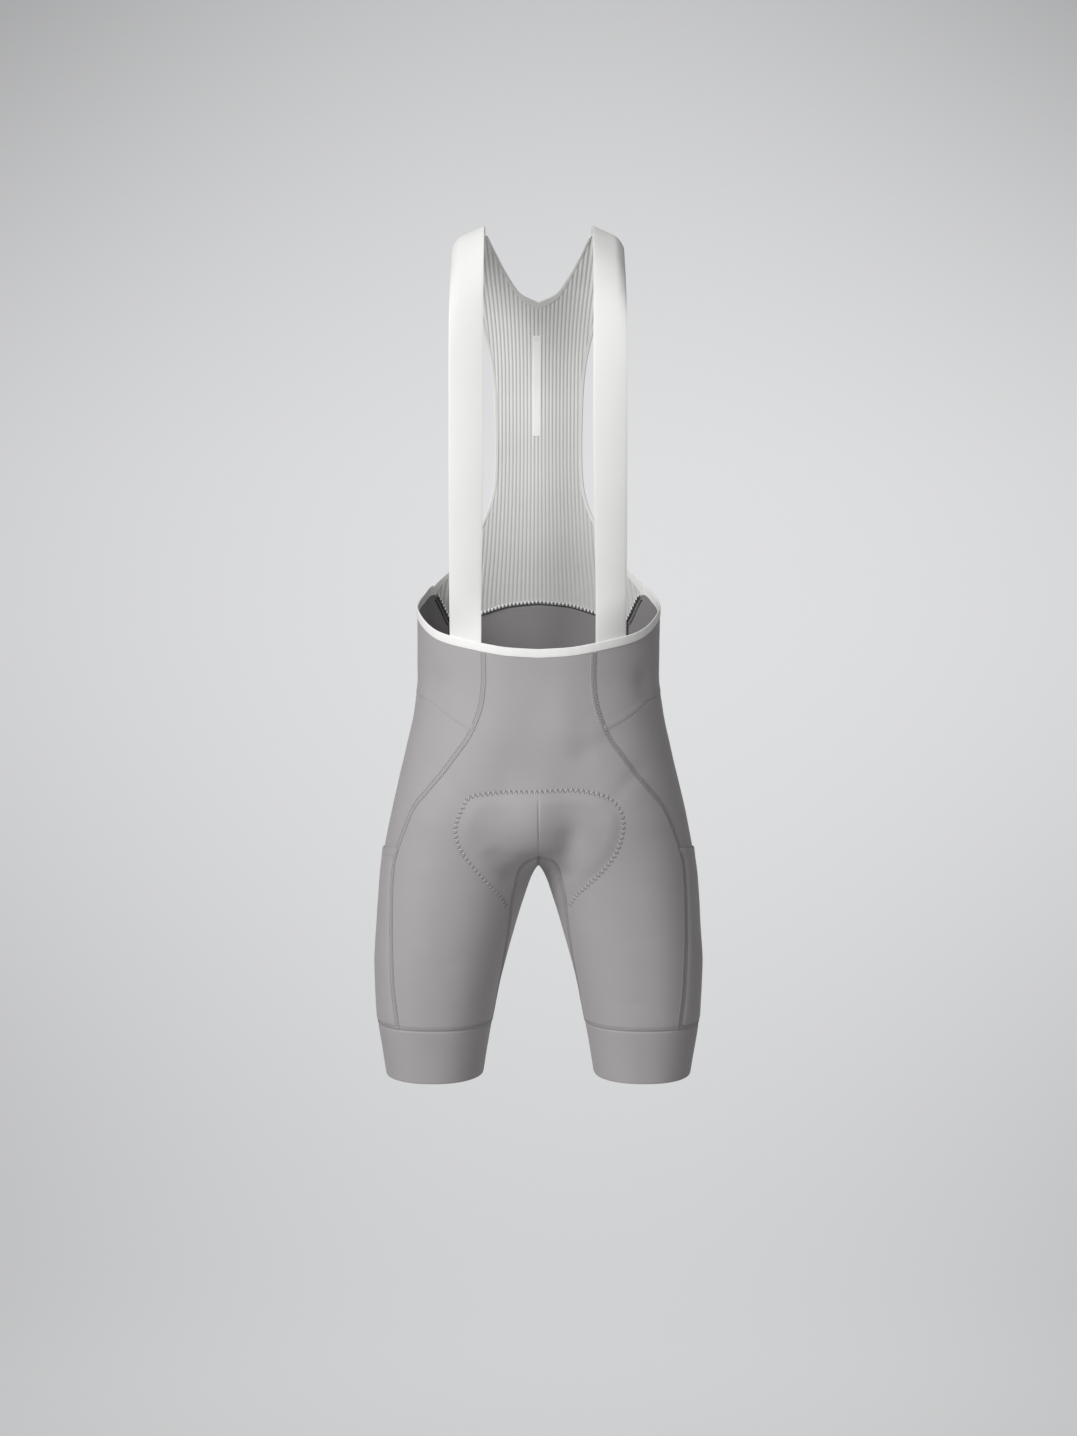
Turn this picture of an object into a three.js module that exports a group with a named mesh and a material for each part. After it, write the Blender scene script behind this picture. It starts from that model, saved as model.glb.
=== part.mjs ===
import * as THREE from 'three';

// Cycling bib shorts, size M, hollow and in the shape that they take when worn.
// Lengths are in millimetres. +Z is up, the front faces -Y and the wearer's left is +X.
// Heights are measured from the front of the waist, and the finished garment then
// hangs from its shoulders, which are at the origin.

// Driving dimensions
const shoulderHeight = 479;
const bandSeamHeight = -410;
const hemHeight = -467;
const hipSeamHeight = -80;
const crotchSeamHeight = -214;
const crotchHeight = -234;
const pocketMouthHeight = -210;
const pocketMouthBack = -219;

const fabricThickness = 1.2;
const pocketThickness = 1;
const bindingThickness = 2;
const strapThickness = 1.4;
const meshThickness = 1;
const ribHeight = 0.5;
const labelThickness = 1;

const seamGap = 0.4;
const layerGap = 0.3;

const waistBindingWidth = 8.9;
const armBindingWidth = 3.9;
const neckBindingDepth = 7.4;
const neckHalf = 61;
const bindingProud = 0.4;
const neckBindingGap = 0.75;
const armBindingGap = 0.45;

const labelLeft = -6.4;
const labelRight = 2.9;
const labelBottom = 257;
const labelTop = 372;
const labelTilt = 0.6;

const ribPitch = 4.2;
const edgeColumn = 23;
const narrowestHeight = 241;
const meshTipX = 118.5;
const meshTipHeight = 70.5;
const meshTopHeight = 473.6;
const lowestMeshStart = 30;
const highestMeshStart = 85;
const lowestMeshEnd = 390;
const highestMeshEnd = 480;
const strapEndHeight = -14;
const strapBackEnd = 474.1;
const shoulderSlope = 0.45;
const shoulderSlopeFrom = 59.5;
const shoulderRound = 0.07;
const shoulderRoundFrom = 84;
const roundness = 2.2;
const normalStep = 0.5;
const halvings = 40;

// Colours
const shortsGrey = 0xb0acad;
const bandGrey = 0xa6a2a3;
const strapWhite = 0xe8e8e6;
const bindingWhite = 0xe6e4e2;
const meshWhite = 0xccccca;
const labelWhite = 0xf3f3f1;

// A table has a name for each column, and is read between its rows by a smooth curve
// that never overshoots them. The first column is what it is read by.
function makeTable(columnNames, rows) {
  const sorted = [...rows].sort((a, b) => a[0] - b[0]);
  const keys = sorted.map((row) => row[0]);
  const table = {};
  columnNames.slice(1).forEach((name, index) => {
    const values = sorted.map((row) => row[index + 1]);
    table[name] = smoothReader(keys, values);
  });
  return table;
}

function smoothReader(keys, values) {
  const last = keys.length - 1;
  const steps = keys.slice(1).map((key, i) => key - keys[i]);
  const rises = steps.map((step, i) => (values[i + 1] - values[i]) / step);
  const slopes = keys.map((_, i) => {
    if (i === 0) return rises[0];
    if (i === last) return rises[last - 1];
    if (rises[i - 1] * rises[i] <= 0) return 0;
    const before = 2 * steps[i] + steps[i - 1];
    const after = steps[i] + 2 * steps[i - 1];
    return (before + after) / (before / rises[i - 1] + after / rises[i]);
  });
  return (key) => {
    const inside = Math.min(Math.max(key, keys[0]), keys[last]);
    let i = 0;
    while (i < last - 1 && inside > keys[i + 1]) i += 1;
    const t = (inside - keys[i]) / steps[i];
    const startPart = (1 + 2 * t) * (1 - t) ** 2 * values[i] + t * (1 - t) ** 2 * steps[i] * slopes[i];
    const endPart = t * t * (3 - 2 * t) * values[i + 1] - t * t * (1 - t) * steps[i] * slopes[i + 1];
    return startPart + endPart;
  };
}

// One side of the figure, section by section. centre and outer are measured from the
// middle of the body. inner is the inside of the leg, and above the crotch it lies
// past the middle, where the two legs run together. front and back are depths.
const body = makeTable(['height', 'centre', 'outer', 'inner', 'front', 'back'], [
  [479, 0, 166, -900, 0, 0],
  [477, 0, 166, -900, 9, 10],
  [472, 0, 166, -900, 19, 21],
  [462, 0, 165, -900, 33, 35],
  [445, 0, 165, -900, 51, 54],
  [420, 0, 164, -900, 70, 75],
  [385, 0, 162, -900, 90, 92],
  [345, 0, 160, -900, 102, 103],
  [300, 0, 156, -900, 109, 108],
  [240, 0, 151, -900, 113, 108],
  [180, 0, 146, -900, 114, 103],
  [120, 0, 140, -900, 112, 98],
  [61, 0, 136, -900, 108, 99],
  [0, 0, 135, -900, 105, 101],
  [-21, 0, 135, -900, 105, 103],
  [-60, 12, 139, -900, 106, 107],
  [-100, 29, 147.5, -900, 107, 112],
  [-140, 46, 157, -700, 106.5, 116],
  [-175, 62, 165, -330, 104, 118],
  [-200, 71, 170, -129, 99.5, 117],
  [-214, 78, 172.5, -42, 96.5, 114],
  [-225, 83, 174.3, -12, 94.5, 111],
  [crotchHeight, 87, 175.6, 0, 93, 108],
  [-240, 88.5, 176.4, 4.5, 92, 106],
  [-273, 98, 179, 17, 88, 97],
  [-307, 104, 181, 27.5, 84, 89],
  [-341, 110, 183, 37, 80, 83],
  [-374, 113.5, 182, 45, 76, 77],
  [-408, 116, 180, 52, 71, 71],
  [-442, 116.5, 175, 58, 65, 64],
  [-467, 116.5, 171, 62, 61, 60],
]);

// A place on the figure's left side. turn is an angle in degrees round the section:
// 0 at the side, -90 at the front, 90 at the back and 180 at the inside of the leg.
function bodyPlace(height, turn) {
  const cosine = Math.cos(THREE.MathUtils.degToRad(turn));
  const sine = Math.sin(THREE.MathUtils.degToRad(turn));
  const centre = body.centre(height);
  const reach = cosine < 0 ? centre - body.inner(height) : body.outer(height) - centre;
  const depth = sine < 0 ? body.front(height) : body.back(height);
  const x = centre + reach * Math.sign(cosine) * Math.abs(cosine) ** (2 / roundness);
  const y = depth * Math.sign(sine) * Math.abs(sine) ** (2 / roundness);
  return new THREE.Vector3(x, y, height);
}

// The same place as a point that also knows which way the cloth faces there
function bodyPoint(height, turn) {
  const point = bodyPlace(height, turn);
  const ahead = bodyPlace(height, turn + normalStep);
  const round = ahead.sub(bodyPlace(height, turn - normalStep));
  const down = bodyPlace(height - normalStep, turn).sub(bodyPlace(height + normalStep, turn));
  point.facing = down.cross(round);
  if (Math.abs(point.x) < seamGap) point.facing.x = 0;
  point.facing.normalize();
  return point;
}

// The turn at which the section passes a given x. face is -1 at the front, 1 at the back.
function turnAtX(height, x, face) {
  const centre = body.centre(height);
  const reach = x < centre ? centre - body.inner(height) : body.outer(height) - centre;
  const part = Math.min(Math.abs(x - centre) / reach, 1);
  const cosine = Math.sign(x - centre) * part ** (roundness / 2);
  return face * THREE.MathUtils.radToDeg(Math.acos(cosine));
}

// The turn on the inside of the leg at which the section passes a given y.
function turnAtInnerY(height, y) {
  const depth = y < 0 ? body.front(height) : body.back(height);
  const sine = (Math.abs(y) / depth) ** (roundness / 2);
  return Math.sign(y) * (180 - THREE.MathUtils.radToDeg(Math.asin(sine)));
}

// Seams of the shorts, on the wearer's left
const frontSeam = makeTable(['height', 'x'], [
  [10, 59.5],
  [-22, 58.8],
  [-47, 61],
  [-69, 67],
  [-87, 75.5],
  [-104, 87.5],
  [-124, 102.5],
  [-145, 120],
  [-163, 134.5],
  [-187, 145.5],
  [-207, 152.5],
  [-227, 158],
  [-262, 160.5],
  [-306, 161],
  [-357, 159.5],
  [-410, 154],
]);

const backSeam = makeTable(['height', 'x'], [
  [40, 102],
  [-20, 104],
  [-80, 112],
  [-150, 126],
  [-207, 135],
  [-260, 138],
  [-320, 137],
  [-365, 133],
  [-410, 128],
]);

// The arch of the inner leg panel, first over the crotch and then down the leg.
const frontArchTop = [
  { height: crotchSeamHeight, x: 0 },
  { height: -217, x: 11 },
  { height: -226, x: 19 },
  { height: -238, x: 23.4 },
];
const backArchTop = [
  { height: -205, x: 0 },
  { height: -209, x: 12 },
  { height: -219, x: 21 },
  { height: -233, x: 25.5 },
];
const frontArchLeg = makeTable(['height', 'y'], [
  [-238, -56],
  [-256, -49.5],
  [-276, -43.5],
  [-298, -36],
  [-343, -21],
  [-388, -9],
  [-410, -5],
]);
const backArchLeg = makeTable(['height', 'y'], [
  [-238, 66],
  [-252, 59],
  [-274, 51],
  [-298, 43],
  [-343, 32],
  [-388, 24],
  [-410, 22],
]);

// How far each row of the inner panel sags below its two ends, from the crotch down.
const innerPanelSag = [20, 24, 26, 25, 20, 13, 7, 3];

// Top edge of the shorts. across runs from 0 at the panel's front edge to 1 at its back.
const frontTop = makeTable(['across', 'height'], [[0, -1.9], [0.5, 0], [1, 4.5]]);
const hipTop = makeTable(['across', 'height'], [
  [0, 4.5],
  [0.25, 17],
  [0.5, 40],
  [0.625, 49],
  [0.75, 59],
  [0.875, 70],
  [1, 38],
]);
const seatTop = makeTable(['across', 'height'], [[0, 38], [0.4, 47.5], [0.75, 58], [1, 61]]);
const hipSeam = makeTable(['across', 'height'], [
  [0, hipSeamHeight],
  [0.1, -71],
  [0.2, -61],
  [0.34, -48],
  [0.5, -43],
  [1, -20],
]);
const seatHipHeight = -15;
const hipTipAcross = 0.875;

const stepsToHip = 4;
const stepsToCrotch = 8;
const stepsToBand = 11;
const hipRow = stepsToHip;
const crotchRow = stepsToHip + stepsToCrotch;
const frontColumns = 8;
const sideColumns = 8;
const seatColumns = 8;
const innerColumns = 6;

const lerp = THREE.MathUtils.lerp;

// Stations of the lines that bound the panels, from the waist down: first those above
// the crotch, and for the side seams those of the leg too
function trunkStations(xAt, face, topHeight, hipHeight, endHeight) {
  const at = (height) => ({ height, turn: turnAtX(height, xAt(height), face) });
  const stations = [];
  for (let i = 0; i < stepsToHip; i += 1) {
    stations.push(at(lerp(topHeight, hipHeight, i / stepsToHip)));
  }
  for (let i = 0; i < stepsToCrotch; i += 1) {
    stations.push(at(lerp(hipHeight, endHeight, i / stepsToCrotch)));
  }
  return stations;
}

function sideStations(seam, face, topHeight, hipHeight, pocketHeight) {
  const stations = trunkStations(seam.x, face, topHeight, hipHeight, pocketHeight);
  for (let i = 0; i <= stepsToBand; i += 1) {
    const height = lerp(pocketHeight, bandSeamHeight, i / stepsToBand);
    stations.push({ height, turn: turnAtX(height, seam.x(height), face) });
  }
  return stations;
}

function archStations(top, leg, face) {
  const stations = top.map(({ height, x }) => ({ height, turn: turnAtX(height, x, face) }));
  const legSteps = stepsToBand - top.length + 1;
  const startHeight = top[top.length - 1].height;
  for (let i = 1; i <= legSteps; i += 1) {
    const height = lerp(startHeight, bandSeamHeight, i / legSteps);
    stations.push({ height, turn: turnAtInnerY(height, leg.y(height)) });
  }
  return stations;
}

const frontArch = archStations(frontArchTop, frontArchLeg, -1);
const backArch = archStations(backArchTop, backArchLeg, 1);
const frontSeamStations = sideStations(frontSeam, -1, frontTop.height(1), hipSeamHeight, pocketMouthHeight);
const backSeamStations = sideStations(backSeam, 1, seatTop.height(0), hipSeam.height(1), pocketMouthBack);
const middle = () => 0;
const centreFrontStations = [
  ...trunkStations(middle, -1, frontTop.height(0), hipSeamHeight, crotchSeamHeight),
  ...frontArch,
];
const centreBackStations = [
  ...trunkStations(middle, 1, seatTop.height(1), seatHipHeight, backArchTop[0].height),
  ...backArch,
];

// One row of a panel between two stations. heightAt gives the row's height across it.
function panelRow(start, end, columns, heightAt) {
  const row = [];
  for (let j = 0; j <= columns; j += 1) {
    const across = j / columns;
    row.push(bodyPoint(heightAt(across), lerp(start.turn, end.turn, across)));
  }
  return row;
}

// Rows of a panel from its top edge down. topEdge and hipLine give the heights of the
// first rows, and below the crotch a row runs straight from seam to seam.
function panelGrid({ starts, ends, columns, topEdge, hipLine }) {
  const straightAt = (i) => (across) => lerp(starts[i].height, ends[i].height, across);
  return starts.map((start, i) => {
    let heightAt = straightAt(i);
    if (i < hipRow) {
      heightAt = (across) => lerp(topEdge(across), hipLine(across), i / stepsToHip);
    } else if (i < crotchRow) {
      const share = (i - hipRow) / stepsToCrotch;
      heightAt = (across) => lerp(hipLine(across), straightAt(crotchRow)(across), share);
    }
    return panelRow(start, ends[i], columns, heightAt);
  });
}

function copyPoint(point) {
  return Object.assign(point.clone(), { facing: point.facing });
}

// Moves the chosen edges of a grid in by half the seam gap, so that two panels stay apart.
function trimEdges(grid, { top = true, bottom = true, first = true, last = true, lastFrom = 0 }) {
  const trimmed = grid.map((row) => row.map(copyPoint));
  const move = (i, j, towardI, towardJ) => {
    const step = new THREE.Vector3().subVectors(grid[towardI][towardJ], grid[i][j]);
    trimmed[i][j].add(step.setLength(seamGap / 2));
  };
  const lastRow = grid.length - 1;
  const lastColumn = grid[0].length - 1;
  grid.forEach((row, i) => {
    if (first) move(i, 0, i, 1);
    if (last && i >= lastFrom) move(i, lastColumn, i, lastColumn - 1);
  });
  grid[0].forEach((_, j) => {
    if (top) move(0, j, 1, j);
    if (bottom) move(lastRow, j, lastRow - 1, j);
  });
  return trimmed;
}

function mirrored(grid) {
  const flip = new THREE.Vector3(-1, 1, 1);
  const mirrorPoint = (point) => {
    const copy = point.clone().multiply(flip);
    copy.facing = point.facing?.clone().multiply(flip);
    return copy;
  };
  const result = grid.map((row) => row.map(mirrorPoint).reverse());
  result.isMirrored = true;
  return result;
}

// Joins grids that share points into one open sheet of triangles. Seen from outside,
// rows run down and columns run to the wearer's back on the left side.
function joinGrids(grids) {
  const points = [];
  const triangles = [];
  const known = new Map();
  const indexOf = (point) => {
    const key = [point.x, point.y, point.z].map((value) => Math.round(value * 1000)).join(' ');
    if (!known.has(key)) {
      known.set(key, points.length);
      points.push(point);
    }
    return known.get(key);
  };
  const addTriangle = (a, b, c) => {
    if (a !== b && b !== c && c !== a) triangles.push([a, b, c]);
  };
  for (const grid of grids) {
    for (let i = 0; i < grid.length - 1; i += 1) {
      for (let j = 0; j < grid[i].length - 1; j += 1) {
        const corner = indexOf(grid[i][j]);
        const below = indexOf(grid[i + 1][j]);
        const beside = indexOf(grid[i][j + 1]);
        const opposite = indexOf(grid[i + 1][j + 1]);
        if (grid.isMirrored) {
          addTriangle(corner, below, opposite);
          addTriangle(corner, opposite, beside);
        } else {
          addTriangle(corner, below, beside);
          addTriangle(beside, below, opposite);
        }
      }
    }
  }
  return { points, triangles };
}

function sheetNormals({ points, triangles }) {
  const normals = points.map(() => new THREE.Vector3());
  for (const [a, b, c] of triangles) {
    const along = new THREE.Vector3().subVectors(points[b], points[a]);
    const across = new THREE.Vector3().subVectors(points[c], points[a]);
    const facing = along.cross(across);
    for (const corner of [a, b, c]) normals[corner].add(facing);
  }
  return points.map((point, index) => point.facing ?? normals[index].normalize());
}

// A closed wall of cloth: an outer face, an inner face and the rim that joins them.
// proud moves the outer face off the sheet, and raise adds to both faces at a point.
function clothWall(name, colour, sheet, { thickness, proud = 0, raise = () => 0, roughness = 0.8 }) {
  const normals = sheetNormals(sheet);
  const count = sheet.points.length;
  const positions = [];
  const addFace = (offsetAt) => {
    sheet.points.forEach((point, index) => {
      const moved = point.clone().addScaledVector(normals[index], offsetAt(point));
      positions.push(moved.x, moved.y, moved.z);
    });
  };
  addFace((point) => proud + raise(point));
  addFace((point) => proud - thickness - raise(point));

  const indices = [];
  const open = new Map();
  for (const [a, b, c] of sheet.triangles) {
    indices.push(a, b, c, a + count, c + count, b + count);
    for (const [from, to] of [[a, b], [b, c], [c, a]]) {
      if (open.has(`${to} ${from}`)) open.delete(`${to} ${from}`);
      else open.set(`${from} ${to}`, [from, to]);
    }
  }
  for (const [from, to] of open.values()) {
    indices.push(to, from, from + count, to, from + count, to + count);
  }

  const geometry = new THREE.BufferGeometry();
  geometry.setAttribute('position', new THREE.Float32BufferAttribute(positions, 3));
  geometry.setIndex(indices);
  geometry.computeVertexNormals();
  const material = new THREE.MeshStandardMaterial({ color: colour, roughness, metalness: 0 });
  const mesh = new THREE.Mesh(geometry, material);
  mesh.name = name;
  return mesh;
}

const garment = new THREE.Group();
garment.position.z = -shoulderHeight;

// Adds a piece on the wearer's left and its mirror image on the right.
function addPair(name, colour, grid, options) {
  garment.add(clothWall(`${name}_left`, colour, joinGrids([grid]), options));
  garment.add(clothWall(`${name}_right`, colour, joinGrids([mirrored(grid)]), options));
}

// Front, hip and side panels
const fabric = { thickness: fabricThickness };

const frontGrid = panelGrid({
  starts: centreFrontStations,
  ends: frontSeamStations,
  columns: frontColumns,
  topEdge: frontTop.height,
  hipLine: () => hipSeamHeight,
});
addPair('front', shortsGrey, trimEdges(frontGrid, { top: false }), fabric);

const sideGrid = panelGrid({
  starts: frontSeamStations,
  ends: backSeamStations,
  columns: sideColumns,
  topEdge: hipTop.height,
  hipLine: hipSeam.height,
});
addPair('hip', shortsGrey, trimEdges(sideGrid.slice(0, hipRow + 1), { top: false }), fabric);
addPair('side', shortsGrey, trimEdges(sideGrid.slice(hipRow), {}), fabric);

// The pocket is a second layer on the side panel, open along its top edge.
addPair('pocket', shortsGrey, trimEdges(sideGrid.slice(crotchRow), { top: false }), {
  thickness: pocketThickness,
  proud: layerGap + pocketThickness,
});

// The seat is one piece across the back, and forks at the crotch to cover both legs.
const seatGrid = panelGrid({
  starts: backSeamStations,
  ends: centreBackStations,
  columns: seatColumns,
  topEdge: seatTop.height,
  hipLine: (across) => lerp(hipSeam.height(1), seatHipHeight, across),
});
const seatHalf = trimEdges(seatGrid, { top: false, lastFrom: crotchRow + 1 });
const forkPoint = seatHalf[crotchRow][seatColumns];
forkPoint.z += seamGap / 2;
garment.add(clothWall('seat', shortsGrey, joinGrids([seatHalf, mirrored(seatHalf)]), fabric));

// Inner leg panels, from the leg bands up to each other under the crotch
function crotchLinePoint(y) {
  let high = backArchTop[0].height;
  let low = crotchHeight;
  for (let i = 0; i < halvings; i += 1) {
    const middle = (high + low) / 2;
    const reach = Math.abs(bodyPoint(middle, turnAtX(middle, 0, Math.sign(y))).y);
    if (reach > Math.abs(y)) high = middle;
    else low = middle;
  }
  return bodyPoint(low, turnAtX(low, 0, Math.sign(y)));
}

const innerGrid = frontArch.map((frontStation, i) => {
  const backStation = backArch[i];
  const sag = innerPanelSag[i] ?? 0;
  const frontTurn = frontStation.turn + 360;
  const row = [];
  for (let j = 0; j <= innerColumns; j += 1) {
    const across = j / innerColumns;
    if (i === 0) {
      const startY = bodyPoint(backStation.height, backStation.turn).y;
      const endY = bodyPoint(frontStation.height, frontStation.turn).y;
      const y = lerp(startY, endY, across);
      row.push(crotchLinePoint(y));
    } else {
      const straight = lerp(backStation.height, frontStation.height, across);
      const height = straight - sag * Math.sin(Math.PI * across);
      row.push(bodyPoint(height, lerp(backStation.turn, frontTurn, across)));
    }
  }
  return row;
});
addPair('inner', shortsGrey, trimEdges(innerGrid, {}), fabric);

// Leg bands
const bandColumns = 28;
const bandRows = 4;
const bandGrid = [];
for (let i = 0; i <= bandRows; i += 1) {
  const height = lerp(bandSeamHeight - seamGap / 2, hemHeight, i / bandRows);
  const row = [];
  for (let j = 0; j <= bandColumns; j += 1) row.push(bodyPoint(height, -180 + (360 * j) / bandColumns));
  bandGrid.push(row);
}
addPair('band', bandGrey, bandGrid, fabric);

// Waist binding, along the top of the front and hip panels on both sides
const tipColumn = Math.round(hipTipAcross * sideColumns);
const waistPath = [...frontGrid[0], ...sideGrid[0].slice(1, tipColumn + 1)];
function raisedOnBody(point, rise) {
  const turn = turnAtX(point.z, point.x, Math.sign(point.y) || -1);
  return bodyPoint(point.z + rise, turn);
}
const waistRows = [waistBindingWidth + layerGap, waistBindingWidth / 2, layerGap];
const waistHalf = waistRows.map((rise) => waistPath.map((point) => raisedOnBody(point, rise)));
garment.add(clothWall('waist_binding', bindingWhite, joinGrids([waistHalf, mirrored(waistHalf)]), {
  thickness: bindingThickness,
  proud: bindingProud,
  roughness: 0.6,
}));

// The bib's back, in outline: the neck edge, the two armhole edges and the seam to the seat
const neckEdge = makeTable(['x', 'height'], [
  [0, 409],
  [20, 418],
  [35.5, 437.5],
  [45.5, 454],
  [58.5, 477],
  [63, 485],
]);
const armEdge = makeTable(['height', 'x'], [
  [67, 121],
  [70.5, 118.5],
  [93, 100],
  [125, 79.5],
  [157, 61.7],
  [175, 54.4],
  [194, 49.9],
  [215, 47.9],
  [narrowestHeight, 47.3],
  [280, 47.9],
  [311, 49.2],
  [340, 52.3],
  [363, 57],
  [390, 64.5],
  [420, 75.5],
  [450, 86],
  [474, 89.3],
]);
// How far the ribs have spread from their spacing at the narrowest place
const ribFan = makeTable(['height', 'spread'], [
  [40, 1.19],
  [61, 1.18],
  [130, 1.08],
  [narrowestHeight, 1],
  [330, 1.01],
  [400, 1.05],
  [474, 1.1],
]);
// The mesh starts just above the top edges of the seat and of the hip panel's last stretch.
const backWaistLine = [...seatGrid[0]].reverse().concat(sideGrid[0].slice(tipColumn, sideColumns).reverse());
function meshBottom(x) {
  let i = 0;
  while (i < backWaistLine.length - 2 && x > backWaistLine[i + 1].x) i += 1;
  const start = backWaistLine[i];
  const end = backWaistLine[i + 1];
  const height = lerp(start.z, end.z, (x - start.x) / (end.x - start.x));
  return height + seamGap * Math.hypot(1, (end.z - start.z) / (end.x - start.x));
}

const slopeFade = makeTable(['height', 'share'], [[330, 0], [390, 0.5], [450, 1]]);

// A point of the bib at an x and a height on the figure's back or front. The shoulders
// slope down from the neck and round off at their outer corners.
function bibPoint(x, height, face) {
  const width = (Math.abs(x) / body.outer(height)) ** roundness;
  const depth = face < 0 ? body.front(height) : body.back(height);
  const y = face * depth * (1 - width) ** (1 / roundness);
  const beyondNeck = Math.max(Math.abs(x) - shoulderSlopeFrom, 0);
  const beyondCorner = Math.max(Math.abs(x) - shoulderRoundFrom, 0);
  const fall = beyondNeck * shoulderSlope + beyondCorner ** 2 * shoulderRound;
  return new THREE.Vector3(x, y, height - fall * slopeFade.share(height));
}

// The height at which the armhole edge crosses a rib line, below or above its narrowest place
function armHeight(ribLine, above) {
  let near = narrowestHeight;
  let far = above ? meshTopHeight : meshBottom(meshTipX);
  for (let i = 0; i < halvings; i += 1) {
    const middle = (near + far) / 2;
    if (armEdge.x(middle) / ribFan.spread(middle) < ribLine) near = middle;
    else far = middle;
  }
  return (near + far) / 2;
}

// The height at which a rib line meets an edge that is given as a height over x
function edgeHeight(ribLine, edge, low, high) {
  let from = low;
  let to = high;
  for (let i = 0; i < halvings; i += 1) {
    const middle = (from + to) / 2;
    if (edge(ribLine * ribFan.spread(middle)) > middle) from = middle;
    else to = middle;
  }
  return (from + to) / 2;
}

const ribStep = ribPitch / 2;
const waistLow = armHeight(edgeColumn * ribStep, false);
const waistHigh = armHeight(edgeColumn * ribStep, true);
const lowerColumns = Math.floor(meshTipX / ribFan.spread(meshTipHeight) / ribStep);
const upperColumns = Math.floor(armEdge.x(meshTopHeight) / ribFan.spread(meshTopHeight) / ribStep);
const lowerRows = 4;
const middleRows = 4;
const upperRows = 8;

function meshTop(x) {
  return Math.min(neckEdge.height(x) - neckBindingDepth - layerGap, meshTopHeight);
}

function meshGrid(columns, rows, rangeAt) {
  const grid = [];
  for (let i = 0; i <= rows; i += 1) {
    const row = [];
    for (let j = -columns; j <= columns; j += 1) {
      const ribLine = Math.abs(j) * ribStep;
      const [bottom, top] = rangeAt(ribLine, Math.abs(j));
      const height = lerp(bottom, top, i / rows);
      const onEdge = columns === edgeColumn && Math.abs(j) === edgeColumn;
      const x = onEdge ? armEdge.x(height) : ribLine * ribFan.spread(height);
      const point = bibPoint(Math.sign(j) * x, height, 1);
      point.ribbed = Math.abs(j) % 2 === 1 && !onEdge;
      point.edge = { x, height };
      row.push(point);
    }
    grid.push(row);
  }
  return grid;
}

const lowerMesh = meshGrid(lowerColumns, lowerRows, (ribLine, column) => {
  const bottom = edgeHeight(ribLine, meshBottom, lowestMeshStart, highestMeshStart);
  const top = column <= edgeColumn ? waistLow : armHeight(ribLine, false);
  return [bottom, top];
});
const middleMesh = meshGrid(edgeColumn, middleRows, () => [waistLow, waistHigh]);
const upperMesh = meshGrid(upperColumns, upperRows, (ribLine, column) => {
  const bottom = column <= edgeColumn ? waistHigh : armHeight(ribLine, true);
  const top = edgeHeight(ribLine, meshTop, lowestMeshEnd, highestMeshEnd);
  return [bottom, top];
});
garment.add(clothWall('bib_back', meshWhite, joinGrids([lowerMesh, middleMesh, upperMesh]), {
  thickness: meshThickness,
  raise: (point) => (point.ribbed ? ribHeight : 0),
  roughness: 0.9,
}));

// Neck binding, column for column on the top edge of the mesh
const neckTop = upperMesh[upperRows].map((point) => Math.sign(point.x) * point.edge.x);
const neckStations = neckTop.filter((x) => Math.abs(x) < neckHalf);
const neckGrid = [neckBindingGap, neckBindingDepth / 2, neckBindingDepth].map((rise) => (
  neckStations.map((x) => bibPoint(x, Math.min(meshTop(Math.abs(x)) + rise, meshTopHeight), 1))
));
garment.add(clothWall('neck_binding', bindingWhite, joinGrids([neckGrid]), {
  thickness: bindingThickness,
  proud: bindingProud,
  roughness: 0.6,
}));

// Armhole bindings follow the edge of the mesh from the hip up to the shoulder, and are
// widest just above the hip.
const armWidths = makeTable(['along', 'width'], [
  [0, 1],
  [2.5, 2.4],
  [9, 7],
  [40, armBindingWidth],
]);
const lowerEdge = lowerMesh[lowerRows].slice(edgeColumn + lowerColumns + 1).reverse();
const armStride = 3;
const armPath = [
  ...lowerEdge.filter((_, i) => i % armStride === 0 || i >= lowerEdge.length - armStride),
  ...middleMesh.map((row) => row[2 * edgeColumn]),
  ...upperMesh[0].slice(edgeColumn + upperColumns + 1),
].map((point) => point.edge);
const armGrid = armPath.map((station, i) => {
  const before = armPath[Math.max(i - 1, 0)];
  const after = armPath[Math.min(i + 1, armPath.length - 1)];
  const length = Math.hypot(after.x - before.x, after.height - before.height);
  const outX = (after.height - before.height) / length;
  const outHeight = -(after.x - before.x) / length;
  const along = Math.hypot(station.x - armPath[0].x, station.height - armPath[0].height);
  const width = armWidths.width(along);
  return [armBindingGap, width / 2, width].map((out) => {
    const height = Math.min(station.height + outHeight * out, meshTopHeight);
    return bibPoint(station.x + outX * out, height, 1);
  });
});
addPair('armhole_binding', bindingWhite, armGrid, {
  thickness: bindingThickness,
  proud: bindingProud,
  roughness: 0.6,
});

// Straps run from inside the front of the waist, over the shoulders, to the mesh.
const strapEdges = makeTable(['height', 'inner', 'outer'], [
  [-14, 61.8, 94.1],
  [60, 61.4, 94.3],
  [176, 59.2, 94.9],
  [248, 58.3, 94.9],
  [479, 60, 94.9],
]);
const strapInset = makeTable(['height', 'inset'], [[-14, 3.4], [26, 3.2], [60, 1], [100, 0]]);
const strapRows = 26;
const strapBackRows = 3;
const strapColumns = 4;
const strapCrowding = 1.7;

function strapRow(height, face) {
  const row = [];
  for (let j = 0; j <= strapColumns; j += 1) {
    const x = lerp(strapEdges.outer(height), strapEdges.inner(height), j / strapColumns);
    const point = bibPoint(x, height, face);
    if (face < 0) point.y += strapInset.inset(height);
    row.push(point);
  }
  return row;
}

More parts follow.
